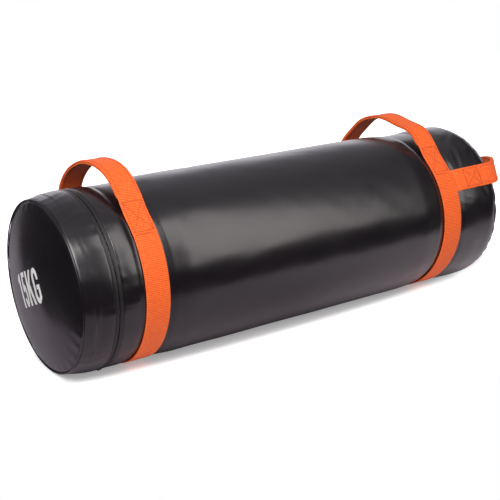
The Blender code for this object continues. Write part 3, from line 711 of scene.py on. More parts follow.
def make_lid_band(leather):
    """Band between the rim and the zip, with a soft ridge where its seam is turned under."""
    places = places_between(RIM_ROLL, LID_BAND_WIDTH - ZIP_LIP_RADIUS, LID_RING_STEP)
    place = places[:, None]
    grid = round_points(place, cover_radius(place), ROUND)
    waves = CLOTH_START_DEPTH * ripple("band_start", place, ROUND)
    held = (place < places[1]) | (place > places[-2])
    cut = round_points(place, np.full(place.shape, cover_radius(LID_BAND_WIDTH)), ROUND)
    grid = grid + settle(grid, grid_normals(grid) * waves[..., None], cut, held)
    grid = worn(grid, places)
    ridge_place = LID_RIDGE_PLACE + LID_RIDGE_STRAY * ripple("ridge_stray", 0.0, ROUND)
    strength = LID_RIDGE_SHARE + (1 - LID_RIDGE_SHARE) * ripple("ridge_strength", 0.0, ROUND)
    offset = (place - ridge_place) / LID_RIDGE_WIDTH
    valley = LID_VALLEY_SHARE * np.exp(-(offset + LID_VALLEY_SHIFT_SHARE) ** 2)
    ridge = LID_RIDGE_HEIGHT * strength * (np.exp(-offset ** 2) - valley)
    grid = lay_down(grid + grid_normals(grid) * ridge[..., None])
    grid = rolled_edge(grid, RIM_ROLL, 4, True)
    grid = rolled_edge(grid, ZIP_LIP_RADIUS, 3, False)
    return shell("lid_band", grid, LEATHER_THICKNESS, leather)


def lid_place(radius):
    """Place of the crowned lid panel's outer face at a radius."""
    return -LID_EDGE_SETBACK - (LID_CROWN - LID_EDGE_SETBACK) * (1 - (radius / LID_PANEL_RADIUS) ** 2)


def lid_swell(radius, angle):
    """Soft folds of the lid panel: gathers at its rim and slow waves over its face."""
    edge = np.exp(-(LID_PANEL_RADIUS - radius) / LID_GATHER_REACH)
    front_low = np.exp(-((angle - LID_GATHER_PLACE) / LID_GATHER_SPREAD) ** 2)
    gathers = ripple("lid_gathers", radius, angle) * (LID_GATHER_LEAST_SHARE + front_low)
    fold = np.exp(-((angle - LID_FOLD_PLACE) / LID_FOLD_SPREAD) ** 2)
    fold = fold * smooth((radius - LID_FOLD_START) / LID_FOLD_LENGTH)
    slow = ripple("lid_waves", radius, angle) * smooth(radius / LID_WAVE_START)
    return LID_GATHER_DEPTH * edge * gathers + LID_FOLD_DEPTH * fold * (1 - edge) + LID_WAVE_DEPTH * slow


def make_lid_panel(leather):
    """The crowned lid."""
    radii = LID_PANEL_RADIUS * np.sqrt(np.linspace(LID_HUB_SHARE, 1, 44))
    radius = radii[:, None]
    edge = smooth((radius - LID_PANEL_RADIUS + LID_SEAM_WIDTH) / LID_SEAM_WIDTH)
    plain = round_points(lid_place(radius) + LID_SEAM_DEPTH * edge, radius, ROUND)
    folds = lid_swell(radius, ROUND)[..., None] * np.array((-1.0, 0.0, 0.0))
    held = (radius < PANEL_HUB_RADIUS) | (radius > radii[-3])
    lengths = radii[0] + lengths_along(np.stack([radii, lid_place(radii)], axis=1))
    cut = round_points(0 * radius, lengths[:, None], ROUND)
    grid = plain + settle(plain, folds, cut, held)
    normals = -grid_normals(lay_down(grid))
    normals *= np.sign(-normals[..., :1])
    return shell("lid_panel", grid, LEATHER_THICKNESS, leather, True, normals)


def make_rim_welt(leather):
    """Thin piping in the rim seam."""
    turns = np.linspace(0, math.tau, 12, endpoint=False)[:, None]
    place = -WELT_RADIUS + WELT_RADIUS * np.cos(turns)
    radius = RIM_RADIUS - WELT_RADIUS + WELT_RADIUS * np.sin(turns)
    return bar("rim_welt", lay_down(round_points(place, radius, ROUND)), leather, closed=True)


def make_end_panel(leather):
    """Rounded far end, gathered at its seam and slack over its face."""
    start = math.asin((END_SEAM_PLACE + ZIP_LIP_RADIUS - END_ROUND_START) / END_ROUND_RADIUS)
    turns = np.linspace(start, math.pi / 2, 14)
    hub = BAG_RADIUS - END_ROUND_RADIUS
    shares = np.linspace(1, END_HUB_SHARE, 36)[1:]
    corner = END_ROUND_START + END_ROUND_RADIUS * np.sin(turns)
    face = END_ROUND_START + END_ROUND_RADIUS + END_CROWN * (1 - shares ** 2)
    places = np.concatenate([corner, face])[:, None]
    radii = np.concatenate([hub + END_ROUND_RADIUS * np.cos(turns), hub * shares])[:, None]
    rows = np.arange(len(places))[:, None]
    grid = round_points(places, radii, ROUND)
    gathers = np.exp(-rows / END_GATHER_ROWS) * ripple("end_gathers", radii, ROUND)
    slow = ripple("end_waves", radii, ROUND) * smooth(radii / END_WAVE_START) * smooth(radii / END_FADE)
    folds = grid_normals(grid) * (END_FOLD_DEPTH * (gathers + slow))[..., None]
    middle = grid.mean(axis=(0, 1))
    held = (radii < PANEL_HUB_RADIUS) | (rows < 2)
    grid = grid + settle(grid, folds, middle + (grid - middle) * PANEL_SLACK_SHARE, held)
    grid = rolled_edge(lay_down(grid), ZIP_LIP_RADIUS, 3, True)[::-1]
    return shell("end_panel", grid, LEATHER_THICKNESS, leather, True, -grid_normals(grid))


# Webbing: a path holds the middle line of its outer face, and the directions there.

Path = namedtuple("Path", "centre width normal along closed curl")


def make_path(centre, width, closed, curl=0.0):
    """Work out a webbing path's outward direction and its length so far."""
    if closed:
        tangent = np.roll(centre, -1, axis=0) - np.roll(centre, 1, axis=0)
    else:
        tangent = np.gradient(centre, axis=0)
    normal = unit(np.cross(unit(tangent), width))
    offset = (centre - (0.0, 0.0, AXIS_HEIGHT)) * (0, 1, 1)
    normal *= np.sign(np.sum(normal * offset))
    curl = np.broadcast_to(curl, len(centre)).astype(float)
    return Path(centre, width, normal, lengths_along(centre), closed, curl)


def read_line(wanted, along, values):
    """Values of several columns at wanted lengths along a line."""
    return np.stack([np.interp(wanted, along, column) for column in values.T], axis=-1)


def on_webbing(path, across, along, lift):
    """Points on a path's outer face, with the outward direction there."""
    across, along = np.broadcast_arrays(across, along)
    lines = (path.centre, path.width, path.normal)
    centre, width, normal = (read_line(along, path.along, values) for values in lines)
    depth = lift - np.interp(along, path.along, path.curl) * across ** 2 / (2 * BAG_RADIUS)
    return centre + width * across[..., None] + normal * depth[..., None], normal


def webbing_section():
    """Outline across the webbing: flat faces and rounded selvedges, as (across, depth)."""
    half = WEBBING_WIDTH / 2
    flat = np.linspace(-half + WEBBING_CORNER, half - WEBBING_CORNER, 11)
    turns = np.linspace(math.pi / 2, 0, 5)[1:]
    edge_across = half - WEBBING_CORNER + WEBBING_CORNER * np.cos(turns)
    edge_depth = -WEBBING_CORNER + WEBBING_CORNER * np.sin(turns)
    top = [(across, 0.0) for across in flat]
    right = list(zip(edge_across, edge_depth))
    right += [(across, -WEBBING_THICKNESS - depth) for across, depth in reversed(right)]
    bottom = [(across, -WEBBING_THICKNESS) for across in flat[::-1]]
    left = [(-across, depth) for across, depth in reversed(right)]
    return np.array(top + right + bottom + left)


def make_webbing(name, path, material, drop=0.0):
    """Strip of webbing along a path, set in from the path's face by drop."""
    across, depth = webbing_section().T
    depth = depth - drop - path.curl[:, None] * across ** 2 / (2 * BAG_RADIUS)
    grid = path.centre[:, None] + path.width[:, None] * across[:, None]
    grid += path.normal[:, None] * depth[..., None]
    weave = np.zeros(grid.shape)
    weave[..., 0] = across
    weave[..., 1] = path.along[:, None]
    return bar(name, grid, material, path.closed, weave)


def stitch_run(path, start, end, lift=STITCH_LIFT):
    """Stitches in a straight row between two (across, along) points of a path."""
    start, end = np.array(start), np.array(end)
    count = max(1, round(np.linalg.norm(end - start) / STITCH_PITCH))
    marks = []
    for index in range(count):
        ends = []
        for share in (0.5 - STITCH_SHARE / 2, 0.5 + STITCH_SHARE / 2):
            across, along = start + (end - start) * ((index + share) / count)
            ends.append(on_webbing(path, across, along, lift))
        marks.append((ends[0][0], ends[1][0], ends[0][1]))
    return marks


def box_cross(path, along_start, along_end):
    """Sewn box with a cross inside it."""
    half = BOX_HALF_WIDTH
    corners = ((-half, along_start), (half, along_start), (half, along_end), (-half, along_end))
    marks = []
    for first, second in ((0, 1), (1, 2), (2, 3), (3, 0), (0, 2), (1, 3)):
        marks += stitch_run(path, corners[first], corners[second])
    return marks


def edge_rows(path, outer_ends, lining_ends):
    """Stitched rows along both edges, on the outer face and on the lining."""
    marks = []
    for across in (-STITCH_EDGE, STITCH_EDGE):
        for (start, end), lift in ((outer_ends, STITCH_LIFT), (lining_ends, LINING_LIFT)):
            marks += stitch_run(path, (across, start), (across, end), lift)
    return marks


def make_stitches(name, marks, thread):
    """Every stitch as a short plump length of thread, lying half sunk."""
    points = []
    faces = []
    sides = STITCH_SIDES
    turns = np.linspace(0, math.tau, sides, endpoint=False)[:, None]
    for start, end, normal in marks:
        middle, half = (start + end) / 2, (end - start) / 2
        aside = unit(np.cross(half, normal))
        first = len(points)
        points.append(middle - half)
        for share in STITCH_RING_SHARES:
            radius = STITCH_RADIUS * math.sqrt(1 - share ** 4)
            points.extend(middle + half * share + radius * (aside * np.cos(turns) + normal * np.sin(turns)))
        last = len(points)
        points.append(middle + half)
        faces += ring_faces(len(STITCH_RING_SHARES), sides, first + 1)
        faces += fan_faces(first, first + 1, sides) + fan_faces(last, last - sides, sides)
    return mesh_object(name, points, faces, thread)


# Grip handles

def strap_face_radius(turn):
    """Distance from the bag's axis of a strap's outer face, at degrees from its handle's middle."""
    table = np.array(HANDLE_PATH)
    degrees = np.arange(-190, 191)
    raw = np.interp(np.abs(degrees), table[:, 0], table[:, 1] * MM)
    weights = np.hanning(9)
    eased = np.convolve(np.pad(raw, 4, mode="edge"), weights / weights.sum(), mode="valid")
    return np.interp(turn, degrees, eased)


def strap_path(side):
    """Closed path of a strap and its handle, starting under the bag."""
    middle, seed, lean, flat = GRIPS[side]
    nearest = (STRAP_TURNS + 180) % 360 - 180
    loose = smooth((LOOSE_END - np.abs(nearest)) / LOOSE_RISE)
    angle = HANDLE_ANGLE + np.radians(STRAP_TURNS)
    radius = strap_face_radius(nearest) + HANDLE_WAVE * loose * ripple("handle_wave", 0.0, angle, seed)
    radius += lean * smooth((nearest + LEAN_START) / LEAN_RISE) * smooth((LOOSE_END - nearest) / LEAN_FALL)
    flat_share = np.cos(math.pi / 2 * np.clip((nearest - FLAT_MIDDLE) / FLAT_REACH, -1, 1))
    radius -= flat * flat_share ** FLAT_POWER
    centre = round_points(middle, radius, angle)
    centre[:, 0] += HANDLE_SWAY * loose * ripple("handle_sway", 0.0, angle, seed)
    centre[:, 2] = FLOOR_GAP + np.logaddexp((centre[:, 2] - FLOOR_GAP) / FLOOR_EASE, 0) * FLOOR_EASE
    return make_path(centre, np.tile((1.0, 0.0, 0.0), (len(centre), 1)), closed=True)


def cut_path(path, start, end):
    """Part of a path between two lengths along it."""
    keep = (path.along >= start) & (path.along <= end)
    return Path(path.centre[keep], path.width[keep], path.normal[keep], path.along[keep], False,
                path.curl[keep])


def make_grip(side, weave, thread):
    """A strap sewn in a loop round the bag, its arched handle with a lining, and their stitching."""
    path = strap_path(side)
    strap = make_webbing(f"{side}_strap_loop", path, weave)
    spans = ((-LINING_TURN, LINING_TURN), (-STITCH_TURN, STITCH_TURN), np.negative(BOX_TURNS), BOX_TURNS)
    lining_ends, stitch_ends, front_box, back_box = (np.interp(s, STRAP_TURNS, path.along) for s in spans)
    lining = make_webbing(f"{side}_grip_lining", cut_path(path, *lining_ends), weave,
                          WEBBING_THICKNESS + LAYER_GAP)
    marks = []
    for near, far in (front_box, back_box):
        marks += box_cross(path, near, far)
        row = near + np.sign(near - far) * BOX_ROW_GAP
        marks += stitch_run(path, (-BOX_HALF_WIDTH, row), (BOX_HALF_WIDTH, row))
    marks += edge_rows(path, stitch_ends, stitch_ends)
    stitches = make_stitches(f"{side}_grip_stitches", marks, thread)
    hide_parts(f"{side}_strap", f"{side}_handle")
    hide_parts(f"{side}_handle_lining")
    for piece in (strap, lining, stitches):
        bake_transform(piece)


# End handle

def end_path():
    """Path of the strip along the bag, out round its end and back, with its places along the bag."""
    outward = np.array((0.0, -math.cos(END_STRIP_ANGLE), math.sin(END_STRIP_ANGLE)))
    widthwise = np.array((0.0, math.sin(END_STRIP_ANGLE), math.cos(END_STRIP_ANGLE)))
    places = places_between(END_STRIP_START, END_LOOP_START, END_STEP)
    left = (places - END_LEAVE_PLACE) / (END_LOOP_START - END_LEAVE_PLACE)
    seat = cover_radius(np.minimum(places, END_LEAVE_PLACE)) + LAYER_GAP + WEBBING_THICKNESS
    seat = seat + (END_LOOP_REACH - seat) * smooth(left)
    strip = np.stack([places, seat, 0 * places, smooth(1 - left)], axis=1)
    turns = np.linspace(0, math.pi, 121)[1:-1]
    lift = np.sin(turns) ** (2 / END_LOOP_POWER)
    across = END_LOOP_REACH * np.sign(np.cos(turns)) * np.abs(np.cos(turns)) ** (2 / END_LOOP_POWER)
    loop = np.stack([END_LOOP_START + END_LOOP_LENGTH * lift, across, lift, 0 * lift], axis=1)
    line = np.concatenate([strip, loop, strip[::-1] * (1, -1, 1, 1)])
    along = lengths_along(line)
    place, reach, lift, curl = read_line(places_between(0, along[-1], END_STEP), along, line).T
    centre = (0.0, 0.0, AXIS_HEIGHT) + reach[:, None] * outward
    centre += (END_LOOP_RISE * lift ** 2)[:, None] * widthwise
    centre[:, 0] += place - MID_LENGTH
    lean = END_LOOP_LEAN * lift
    width = np.cos(lean)[:, None] * widthwise
    width[:, 0] += np.sin(lean)
    return make_path(centre, width, closed=False, curl=curl), place


def make_end_grip(weave, thread):
    """The end strips and their carrying loop in one length of webbing, with a lining in the loop."""
    path, place = end_path()
    loop = make_webbing("end_strap_loop", path, weave)
    whole = path.along[-1]
    half = len(place) // 2
    near, far, edge, foot = (np.interp(value, place[:half], path.along[:half])
                             for value in (*END_BOX_PLACES, END_STITCH_PLACE, END_LINING_PLACE))
    lining = make_webbing("end_grip_lining", cut_path(path, foot, whole - foot), weave,
                          WEBBING_THICKNESS + LAYER_GAP)
    marks = box_cross(path, near, far) + box_cross(path, whole - near, whole - far)
    foot += END_STITCH_INSET
    marks += edge_rows(path, (edge, whole - edge), (foot, whole - foot))
    stitches = make_stitches("end_grip_stitches", marks, thread)
    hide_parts("end_strip_front", "end_strip_back", "end_handle")
    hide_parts("end_handle_lining")
    for piece in (loop, lining, stitches):
        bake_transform(piece)


# Zip

def arc_strip(name, edges, bottom, top, start, end, material):
    """Flat-bottomed strip with rounded upper corners, swept round part of the bag."""
    low, high = edges
    turns = np.linspace(0, math.pi / 2, 4)
    right = [(high - TAPE_CORNER + TAPE_CORNER * math.cos(t), top - TAPE_CORNER + TAPE_CORNER * math.sin(t))
             for t in turns]
    left = [(low + high - place, radius) for place, radius in reversed(right)]
    profile = np.array([(low, bottom), (high, bottom), *right, *left])
    angles = np.linspace(start, end, max(8, round((end - start) / ZIP_STEP_ANGLE)) + 1)
    return bar(name, lay_down(round_points(profile[:, 0], profile[:, 1], angles[:, None])), material)


def tube_along(name, line, radius, sides, material):
    """Tube of a radius along a line of points, with flat ends."""
    tangent = unit(np.gradient(line, axis=0))
    side = unit(np.cross(tangent, TUBE_HINT))
    for index in range(1, len(side)):
        side[index] = unit(side[index - 1] - tangent[index] * (side[index - 1] @ tangent[index]))
    other = np.cross(tangent, side)
    turns = np.linspace(0, math.tau, sides, endpoint=False)[:, None]
    ring = side[:, None] * np.cos(turns) + other[:, None] * np.sin(turns)
    return bar(name, line[:, None] + radius * ring, material)


def make_coil(name, side, nylon):
    """Row of nylon coil sewn under one tape's edge."""
    run = (ZIP_CLOSED_ANGLE - ZIP_OPEN_ANGLE) - 2 * COIL_END_GAP / COIL_RADIUS
    count = round(run * COIL_RADIUS / COIL_PITCH)
    turns = np.linspace(0, count * math.tau, count * COIL_STEPS + 1)
    angle = ZIP_OPEN_ANGLE + COIL_END_GAP / COIL_RADIUS + run * turns / turns[-1]
    middle = ZIP_MIDDLE + side * (COIL_INNER_EDGE + COIL_OUTER_EDGE) / 2
    reach = (COIL_OUTER_EDGE - COIL_INNER_EDGE) / 2 - COIL_WIRE
    radius = COIL_RADIUS + COIL_HALF_HEIGHT * np.sin(turns)
    return tube_along(name, round_points(middle + reach * np.cos(turns), radius, angle), COIL_WIRE, 5, nylon)


def make_zip_track(tape_fabric, nylon, leather):
    """Coated tapes either side of the slit, the coil rows under them, and the bridge that joins the lid."""
    top = ZIP_BAND_RADIUS - TAPE_RECESS
    made = []
    for side, label in ((-1, "lid"), (1, "body")):
        outer = ZIP_BAND_WIDTH / 2 - TAPE_EDGE_GAP
        edges = sorted(ZIP_MIDDLE + side * reach for reach in (SLIT_HALF, outer))
        tape = arc_strip(f"zip_tape_{label}_side", edges, top - TAPE_THICKNESS, top, ZIP_OPEN_ANGLE,
                         ZIP_CLOSED_ANGLE, tape_fabric)
        made.append((tape, f"zip_tape_{label}", "zip_tape"))
        made.append((make_coil(f"zip_coil_{label}_side", side, nylon), f"zip_coil_{label}", "zip_coil"))
    edges = (LID_BAND_WIDTH + BRIDGE_EDGE_GAP, LID_BAND_WIDTH + ZIP_BAND_WIDTH - BRIDGE_EDGE_GAP)
    start, end = ZIP_CLOSED_ANGLE + BRIDGE_END_ANGLE, ZIP_OPEN_ANGLE + math.tau - BRIDGE_END_ANGLE
    bridge = arc_strip("lid_bridge", edges, ZIP_BAND_RADIUS - LEATHER_THICKNESS, ZIP_BAND_RADIUS, start, end,
                       leather)
    made.append((bridge, "cover_bridge", "leather"))
    for piece, node, slot in made:
        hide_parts(node)
        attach(piece, "bag")


# Weight mark on the lid

def arc_points(centre_x, centre_y, reach_x, reach_y, start, end, count):
    """Points of an ellipse's arc between two angles in degrees."""
    turns = np.radians(np.linspace(start, end, count))
    return [(centre_x + reach_x * math.cos(t), centre_y + reach_y * math.sin(t)) for t in turns]


def mark_outlines():
    """Outlines of a plain bold 1, 5, K and G one unit high, with their left edges and width shares."""
    one = [(0.19, 0), (0.34, 0), (0.34, 1), (0.25, 1), (0.06, 0.86), (0.06, 0.72), (0.19, 0.80)]
    five = [(0.00, 0.25), *arc_points(0.225, 0.20, 0.225, 0.21, 168, 270, 6),
            *arc_points(0.225, 0.32, 0.235, 0.33, 270, 450, 12),
            *arc_points(0.225, 0.42, 0.08, 0.23, 90, 130, 3),
            (0.185, 0.86), (0.43, 0.86), (0.43, 1), (0.05, 1), (0.02, 0.45), (0.155, 0.43),
            *arc_points(0.225, 0.33, 0.085, 0.19, 115, -60, 9),
            *arc_points(0.225, 0.27, 0.07, 0.14, 270, 190, 4), (0.155, 0.27)]
    letter_k = [(0.00, 0), (0.155, 0), (0.155, 0.30), (0.225, 0.42), (0.40, 0), (0.57, 0), (0.325, 0.60),
                (0.55, 1), (0.385, 1), (0.155, 0.57), (0.155, 1), (0.00, 1)]
    letter_g = [*arc_points(0.26, 0.70, 0.26, 0.31, 0, 180, 14),
                *arc_points(0.26, 0.30, 0.26, 0.31, 180, 290, 10),
                (0.42, 0.07), (0.52, 0.13), (0.52, 0.52), (0.26, 0.52), (0.26, 0.39), (0.37, 0.39),
                (0.37, 0.22), *arc_points(0.27, 0.30, 0.11, 0.16, 320, 180, 8),
                *arc_points(0.27, 0.70, 0.11, 0.16, 180, 0, 10), (0.38, 0.66), (0.52, 0.66)]
    return ((one, 0.0, 1.0), (five, 0.53, 0.85), (letter_k, 1.03, 1.0), (letter_g, 1.68, 1.0))


def make_weight_mark(ink, lid):
    """Raised white print of the bag's weight, lying on the crowned lid."""
    bpy.context.view_layer.update()
    work = bmesh.new()
    for outline, shift, width_share in mark_outlines():
        corners = []
        for x, y in outline:
            corner = Vector((x * width_share + shift, y, 0))
            if not corners or (corner - corners[-1].co).length > MARK_MERGE_SHARE:
                corners.append(work.verts.new(corner))
        work.faces.new(corners).normal_update()
    bmesh.ops.triangulate(work, faces=work.faces)
    for normal, count in ((Vector((1, 0, 0)), 60), (Vector((0, 1, 0)), 28)):
        for index in range(count):
            bmesh.ops.bisect_plane(work, geom=work.verts[:] + work.edges[:] + work.faces[:],
                                   plane_co=normal * MARK_CELL_SHARE * index, plane_no=normal)
    low = min(vertex.co.x for vertex in work.verts)
    high = max(vertex.co.x for vertex in work.verts)
    extruded = bmesh.ops.extrude_face_region(work, geom=work.faces[:])
    for vertex in extruded["geom"]:
        if isinstance(vertex, bmesh.types.BMVert):
            vertex.co.z = 1
    slant_cos, slant_sin = math.cos(MARK_SLANT), math.sin(MARK_SLANT)
    for vertex in work.verts:
        right = ((vertex.co.x - low) / (high - low) - 0.5) * MARK_WIDTH
        up = (vertex.co.y - 0.5) * MARK_HEIGHT
        y = MARK_MIDDLE_Y - right * slant_cos + up * slant_sin
        z = MARK_MIDDLE_Z + right * slant_sin + up * slant_cos
        face = lid.ray_cast((-BAG_LENGTH, y, z), (1, 0, 0))[1].x
        vertex.co = (face + MARK_SINK - vertex.co.z * (MARK_SINK + MARK_LIFT), y, z)
    bmesh.ops.recalc_face_normals(work, faces=work.faces)
    mesh = bpy.data.meshes.new("weight_mark")
    work.to_mesh(mesh)
    work.free()
    mesh.materials.append(ink)
    mark = place_object("weight_mark", mesh)
    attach(mark, "bag")


# Padding and filling

def disc_line(place, radius, start, end, count):
    """Profile across a flat end, from one share of a radius to another."""
    return [(place, radius * share) for share in np.linspace(start, end, count)]


def corner_line(place, radius, corner, start, end, count=6):
    """Quarter round of a profile, between two angles in degrees."""
    return arc_points(place, radius, corner, corner, start, end, count)


def closed_round(name, profile, material, floor=FLOOR_GAP):
    """Solid turned from a profile of (place, radius) that starts and ends near the axis."""
    profile = np.array(profile)
    grid = lay_down(round_points(profile[:, :1], profile[:, 1:], ROUND[:, ::2]), floor)
    rows, columns = grid.shape[:2]
    tips = rows * columns
    points = np.concatenate([grid.reshape(-1, 3), [grid[0].mean(axis=0), grid[-1].mean(axis=0)]])
    faces = ring_faces(rows, columns) + fan_faces(tips, 0, columns)
    faces += fan_faces(tips + 1, tips - columns, columns)
    return mesh_object(name, points, faces, material)


def make_foam_sleeve(foam):
    """Sheet of foam rolled inside the tube."""
    places = places_between(PAD_START, PAD_END, PAD_STEP)
    grid = round_points(places[:, None], cover_radius(places)[:, None] - WALL_GAP, ROUND)
    lay_down(grid, FLOOR_GAP + WAIST_LIFT * waist_share(places)[:, None] + WALL_GAP)
    return shell("foam_sleeve", grid, FOAM_THICKNESS, foam)


def make_lid_cushion(foam):
    """Crowned foam disc behind the lid."""
    radii = np.linspace(PAD_HUB, LID_PANEL_RADIUS - PAD_HUB, 14)
    front = [(lid_place(radius) + WALL_GAP, radius) for radius in radii]
    edge_radius = LID_PANEL_RADIUS - PAD_CORNER - LAYER_GAP
    edge = corner_line(LID_PAD_DEPTH - PAD_CORNER, edge_radius, PAD_CORNER, 90, 0)
    inner = np.linspace(LID_PANEL_RADIUS - 2 * PAD_CORNER, PAD_HUB, 8)
    back = [(LID_PAD_DEPTH, radius) for radius in inner]
    return closed_round("lid_cushion", front + edge + back, foam, FLOOR_GAP + WALL_GAP)


def make_end_cushion(foam):
    """Foam that fills the rounded end."""
    start = PAD_END + LAYER_GAP
    radius = BAG_RADIUS - WALL_GAP - PAD_CORNER
    corner = END_ROUND_RADIUS - WALL_GAP
    hub = BAG_RADIUS - END_ROUND_RADIUS
    outline = disc_line(start, radius, HUB_SHARE, 1, 10)
    outline += corner_line(start + PAD_CORNER, radius, PAD_CORNER, 180, 90)
    outline += corner_line(END_ROUND_START, hub, corner, 90, 0, 9)
    for share in np.linspace(END_PAD_FACE_SHARE, HUB_SHARE, 8):
        outline.append((END_ROUND_START + corner + END_CROWN * (1 - share ** 2), hub * share))
    return closed_round("end_cushion", outline, foam, FLOOR_GAP + WALL_GAP)


def make_sand_sack(fabric):
    """Woven inner sack, gathered to a neck behind the lid."""
    edge = FILLER_RADIUS - FILLER_EDGE
    profile = disc_line(FILLER_END, FILLER_RADIUS, HUB_SHARE, FILLER_FLAT_SHARE, 8)
    profile += corner_line(FILLER_END - FILLER_EDGE, edge, FILLER_EDGE, 0, 90)
    for place in np.linspace(FILLER_END - FILLER_INSET, FILLER_START + FILLER_INSET, 40):
        profile.append((place, FILLER_RADIUS))
    profile += corner_line(FILLER_START + FILLER_EDGE, edge, FILLER_EDGE, 90, 180)
    profile += disc_line(FILLER_START, FILLER_RADIUS, *SACK_MOUTH_SHARES, 9)
    for place in np.linspace(*NECK_PLACES, 7):
        profile.append((place, NECK_RADIUS - NECK_PINCH * abs(place - TIE_PLACE) / NECK_PINCH_REACH))
    place, radius = np.array(profile).T[..., None]
    grid = round_points(place, radius, ROUND)
    near = np.exp(-np.abs(place - FILLER_START) / SACK_FOLD_REACH)
    near = near * smooth(SACK_FOLD_END_SHARE - radius / FILLER_RADIUS)
    folds = SACK_FOLD_DEPTH * near * np.cos(SACK_FOLDS * ROUND + SACK_FOLD_STRAY * np.sin(3 * ROUND))
    grid = lay_down(grid - grid_normals(grid) * (SACK_DROP * near + np.abs(folds))[..., None])
    return shell("sand_sack", grid, SACK_THICKNESS, fabric, capped=True)


def make_sand(grains):
    """The sand, packed to the shape of its sack."""
    inset = SACK_THICKNESS + LAYER_GAP + SAND_GAP
    radius = FILLER_RADIUS - inset
    corner = FILLER_EDGE - inset
    start, end = FILLER_START + inset, FILLER_END - inset
    outline = disc_line(start, radius, HUB_SHARE, FILLER_FLAT_SHARE, 8)
    outline += corner_line(start + corner, radius - corner, corner, 180, 90)
    for place in np.linspace(FILLER_START + FILLER_INSET, FILLER_END - FILLER_INSET, 30):
        outline.append((place, radius))
    outline += corner_line(end - corner, radius - corner, corner, 90, 0)
    outline += disc_line(end, radius, FILLER_FLAT_SHARE, HUB_SHARE, 8)
    return closed_round("sand_bulk", outline, grains)


def make_neck_tie(cord):
    """Cord wound round the sack's neck."""
    turns = np.linspace(0, TIE_TURNS * math.tau, 109)
    place = TIE_PLACE - TIE_REACH + 2 * TIE_REACH * turns / turns[-1]
    line = round_points(place, NECK_RADIUS + TIE_RADIUS + TIE_GAP, turns)
    return tube_along("neck_tie", line, TIE_RADIUS, 8, cord)


# Materials

def add(owner, kind, settings=None, **links):
    """Add a node with its settings and inputs: a socket is linked, any other value is set."""
    tree = owner.node_tree
    node = tree.nodes.new(kind)
    for name, value in (settings or {}).items():
        setattr(node, name, value)
    for name, value in links.items():
        key = int(name[1:]) if name[0] == "i" and name[1:].isdigit() else name.replace("_", " ")
        if isinstance(value, bpy.types.NodeSocket):
            tree.links.new(value, node.inputs[key])
        else:
            node.inputs[key].default_value = value
    return node


def surface(material, name):
    """A socket of a material's surface shader."""
    return material.node_tree.nodes["Principled BSDF"].inputs[name]


def link(material, output, name):
    """Feed a socket of a material's surface shader."""
    material.node_tree.links.new(output, surface(material, name))


def new_material(name, colour, roughness, **more):
    """A material with plain values on its surface shader, and the object's own coordinates."""
    material = bpy.data.materials.new(name)
    material.use_nodes = True
    for key, value in {"Base_Color": srgb(colour), "Roughness": roughness, **more}.items():
        surface(material, key.replace("_", " ")).default_value = value
    return material, add(material, "ShaderNodeTexCoord").outputs["Object"]


def shades(owner, factor, *stops):
    """Colours of a scale from 0 to 1, read at a factor."""
    ramp = add(owner, "ShaderNodeValToRGB", i0=factor)
    elements = ramp.color_ramp.elements
    while len(elements) < len(stops):
        elements.new(0.5)
    for element, (place, colour) in zip(elements, stops):
        element.position = place
        element.color = srgb(colour)
    return ramp.outputs["Color"]


def between(owner, value, ends, results, kind="SMOOTHSTEP"):
    """A value that runs between two results as another value runs between two ends."""
    return add(owner, "ShaderNodeMapRange", {"interpolation_type": kind}, i0=value, i1=ends[0], i2=ends[1],
               i3=results[0], i4=results[1]).outputs[0]


def maths(owner, operation, *values):
    """The result of an operation on two or three values."""
    inputs = {f"i{index}": value for index, value in enumerate(values)}
    return add(owner, "ShaderNodeMath", {"operation": operation}, **inputs).outputs[0]


def blend_values(owner, first, second, share):
    """Part of one value and the rest of another."""
    return maths(owner, "MULTIPLY_ADD", first, 1 - share, maths(owner, "MULTIPLY", second, share))


def noise(material, spot, size, detail, **more):
    """Cloudy pattern of a size in metres."""
    return add(material, "ShaderNodeTexNoise", Vector=spot, Scale=1 / size, Detail=detail, **more).outputs[0]


def bands(material, spot, pitch, direction):
    """Even bands at a pitch in metres."""
    return add(material, "ShaderNodeTexWave", {"bands_direction": direction}, Vector=spot,
               Scale=math.pi / 10 / pitch).outputs["Fac"]


def colour(material, factor, *stops):
    """Colour the surface by a factor."""
    link(material, shades(material, factor, *stops), "Base Color")


def polish(material, factor, *results):
    """Let the roughness run between two values as a factor runs from 0 to 1."""
    link(material, between(material, factor, (0.0, 1.0), results, "LINEAR"), "Roughness")


def bump(material, height, distance, **more):
    """Directions of a surface raised by a real height in metres."""
    return add(material, "ShaderNodeBump", Height=height, Distance=distance, Strength=1.0, **more).outputs[0]


def make_leather():
    """PVC leather, calendered semi-gloss: a black coat whose pebble grain softens long highlights.

    The pebbles are 0.9 mm across, and faint stretch marks 9 mm apart run over them.
    """
    leather, spot = new_material("coated_leather", "110D11", 0.25, Coat_Weight=0.65, Coat_Roughness=0.25)
    pebbles = add(leather, "ShaderNodeTexVoronoi", {"feature": "SMOOTH_F1"}, Vector=spot,
                  Scale=1 / PEBBLE_SIZE, Smoothness=0.6).outputs["Distance"]
    grain = blend_values(leather, pebbles, noise(leather, spot, PORE_SIZE, 2), 0.3)
    wear = noise(leather, spot, WEAR_SIZE, 5)
    stretch = noise(leather, spot, STRETCH_SIZE, 4, Roughness=0.55)
    colour(leather, wear, (0.3, "0E0A0E"), (0.7, "130F13"))
    polish(leather, wear, 0.21, 0.30)
    link(leather, bump(leather, stretch, STRETCH_DEPTH, Normal=bump(leather, grain, GRAIN_DEPTH)), "Normal")
    return leather


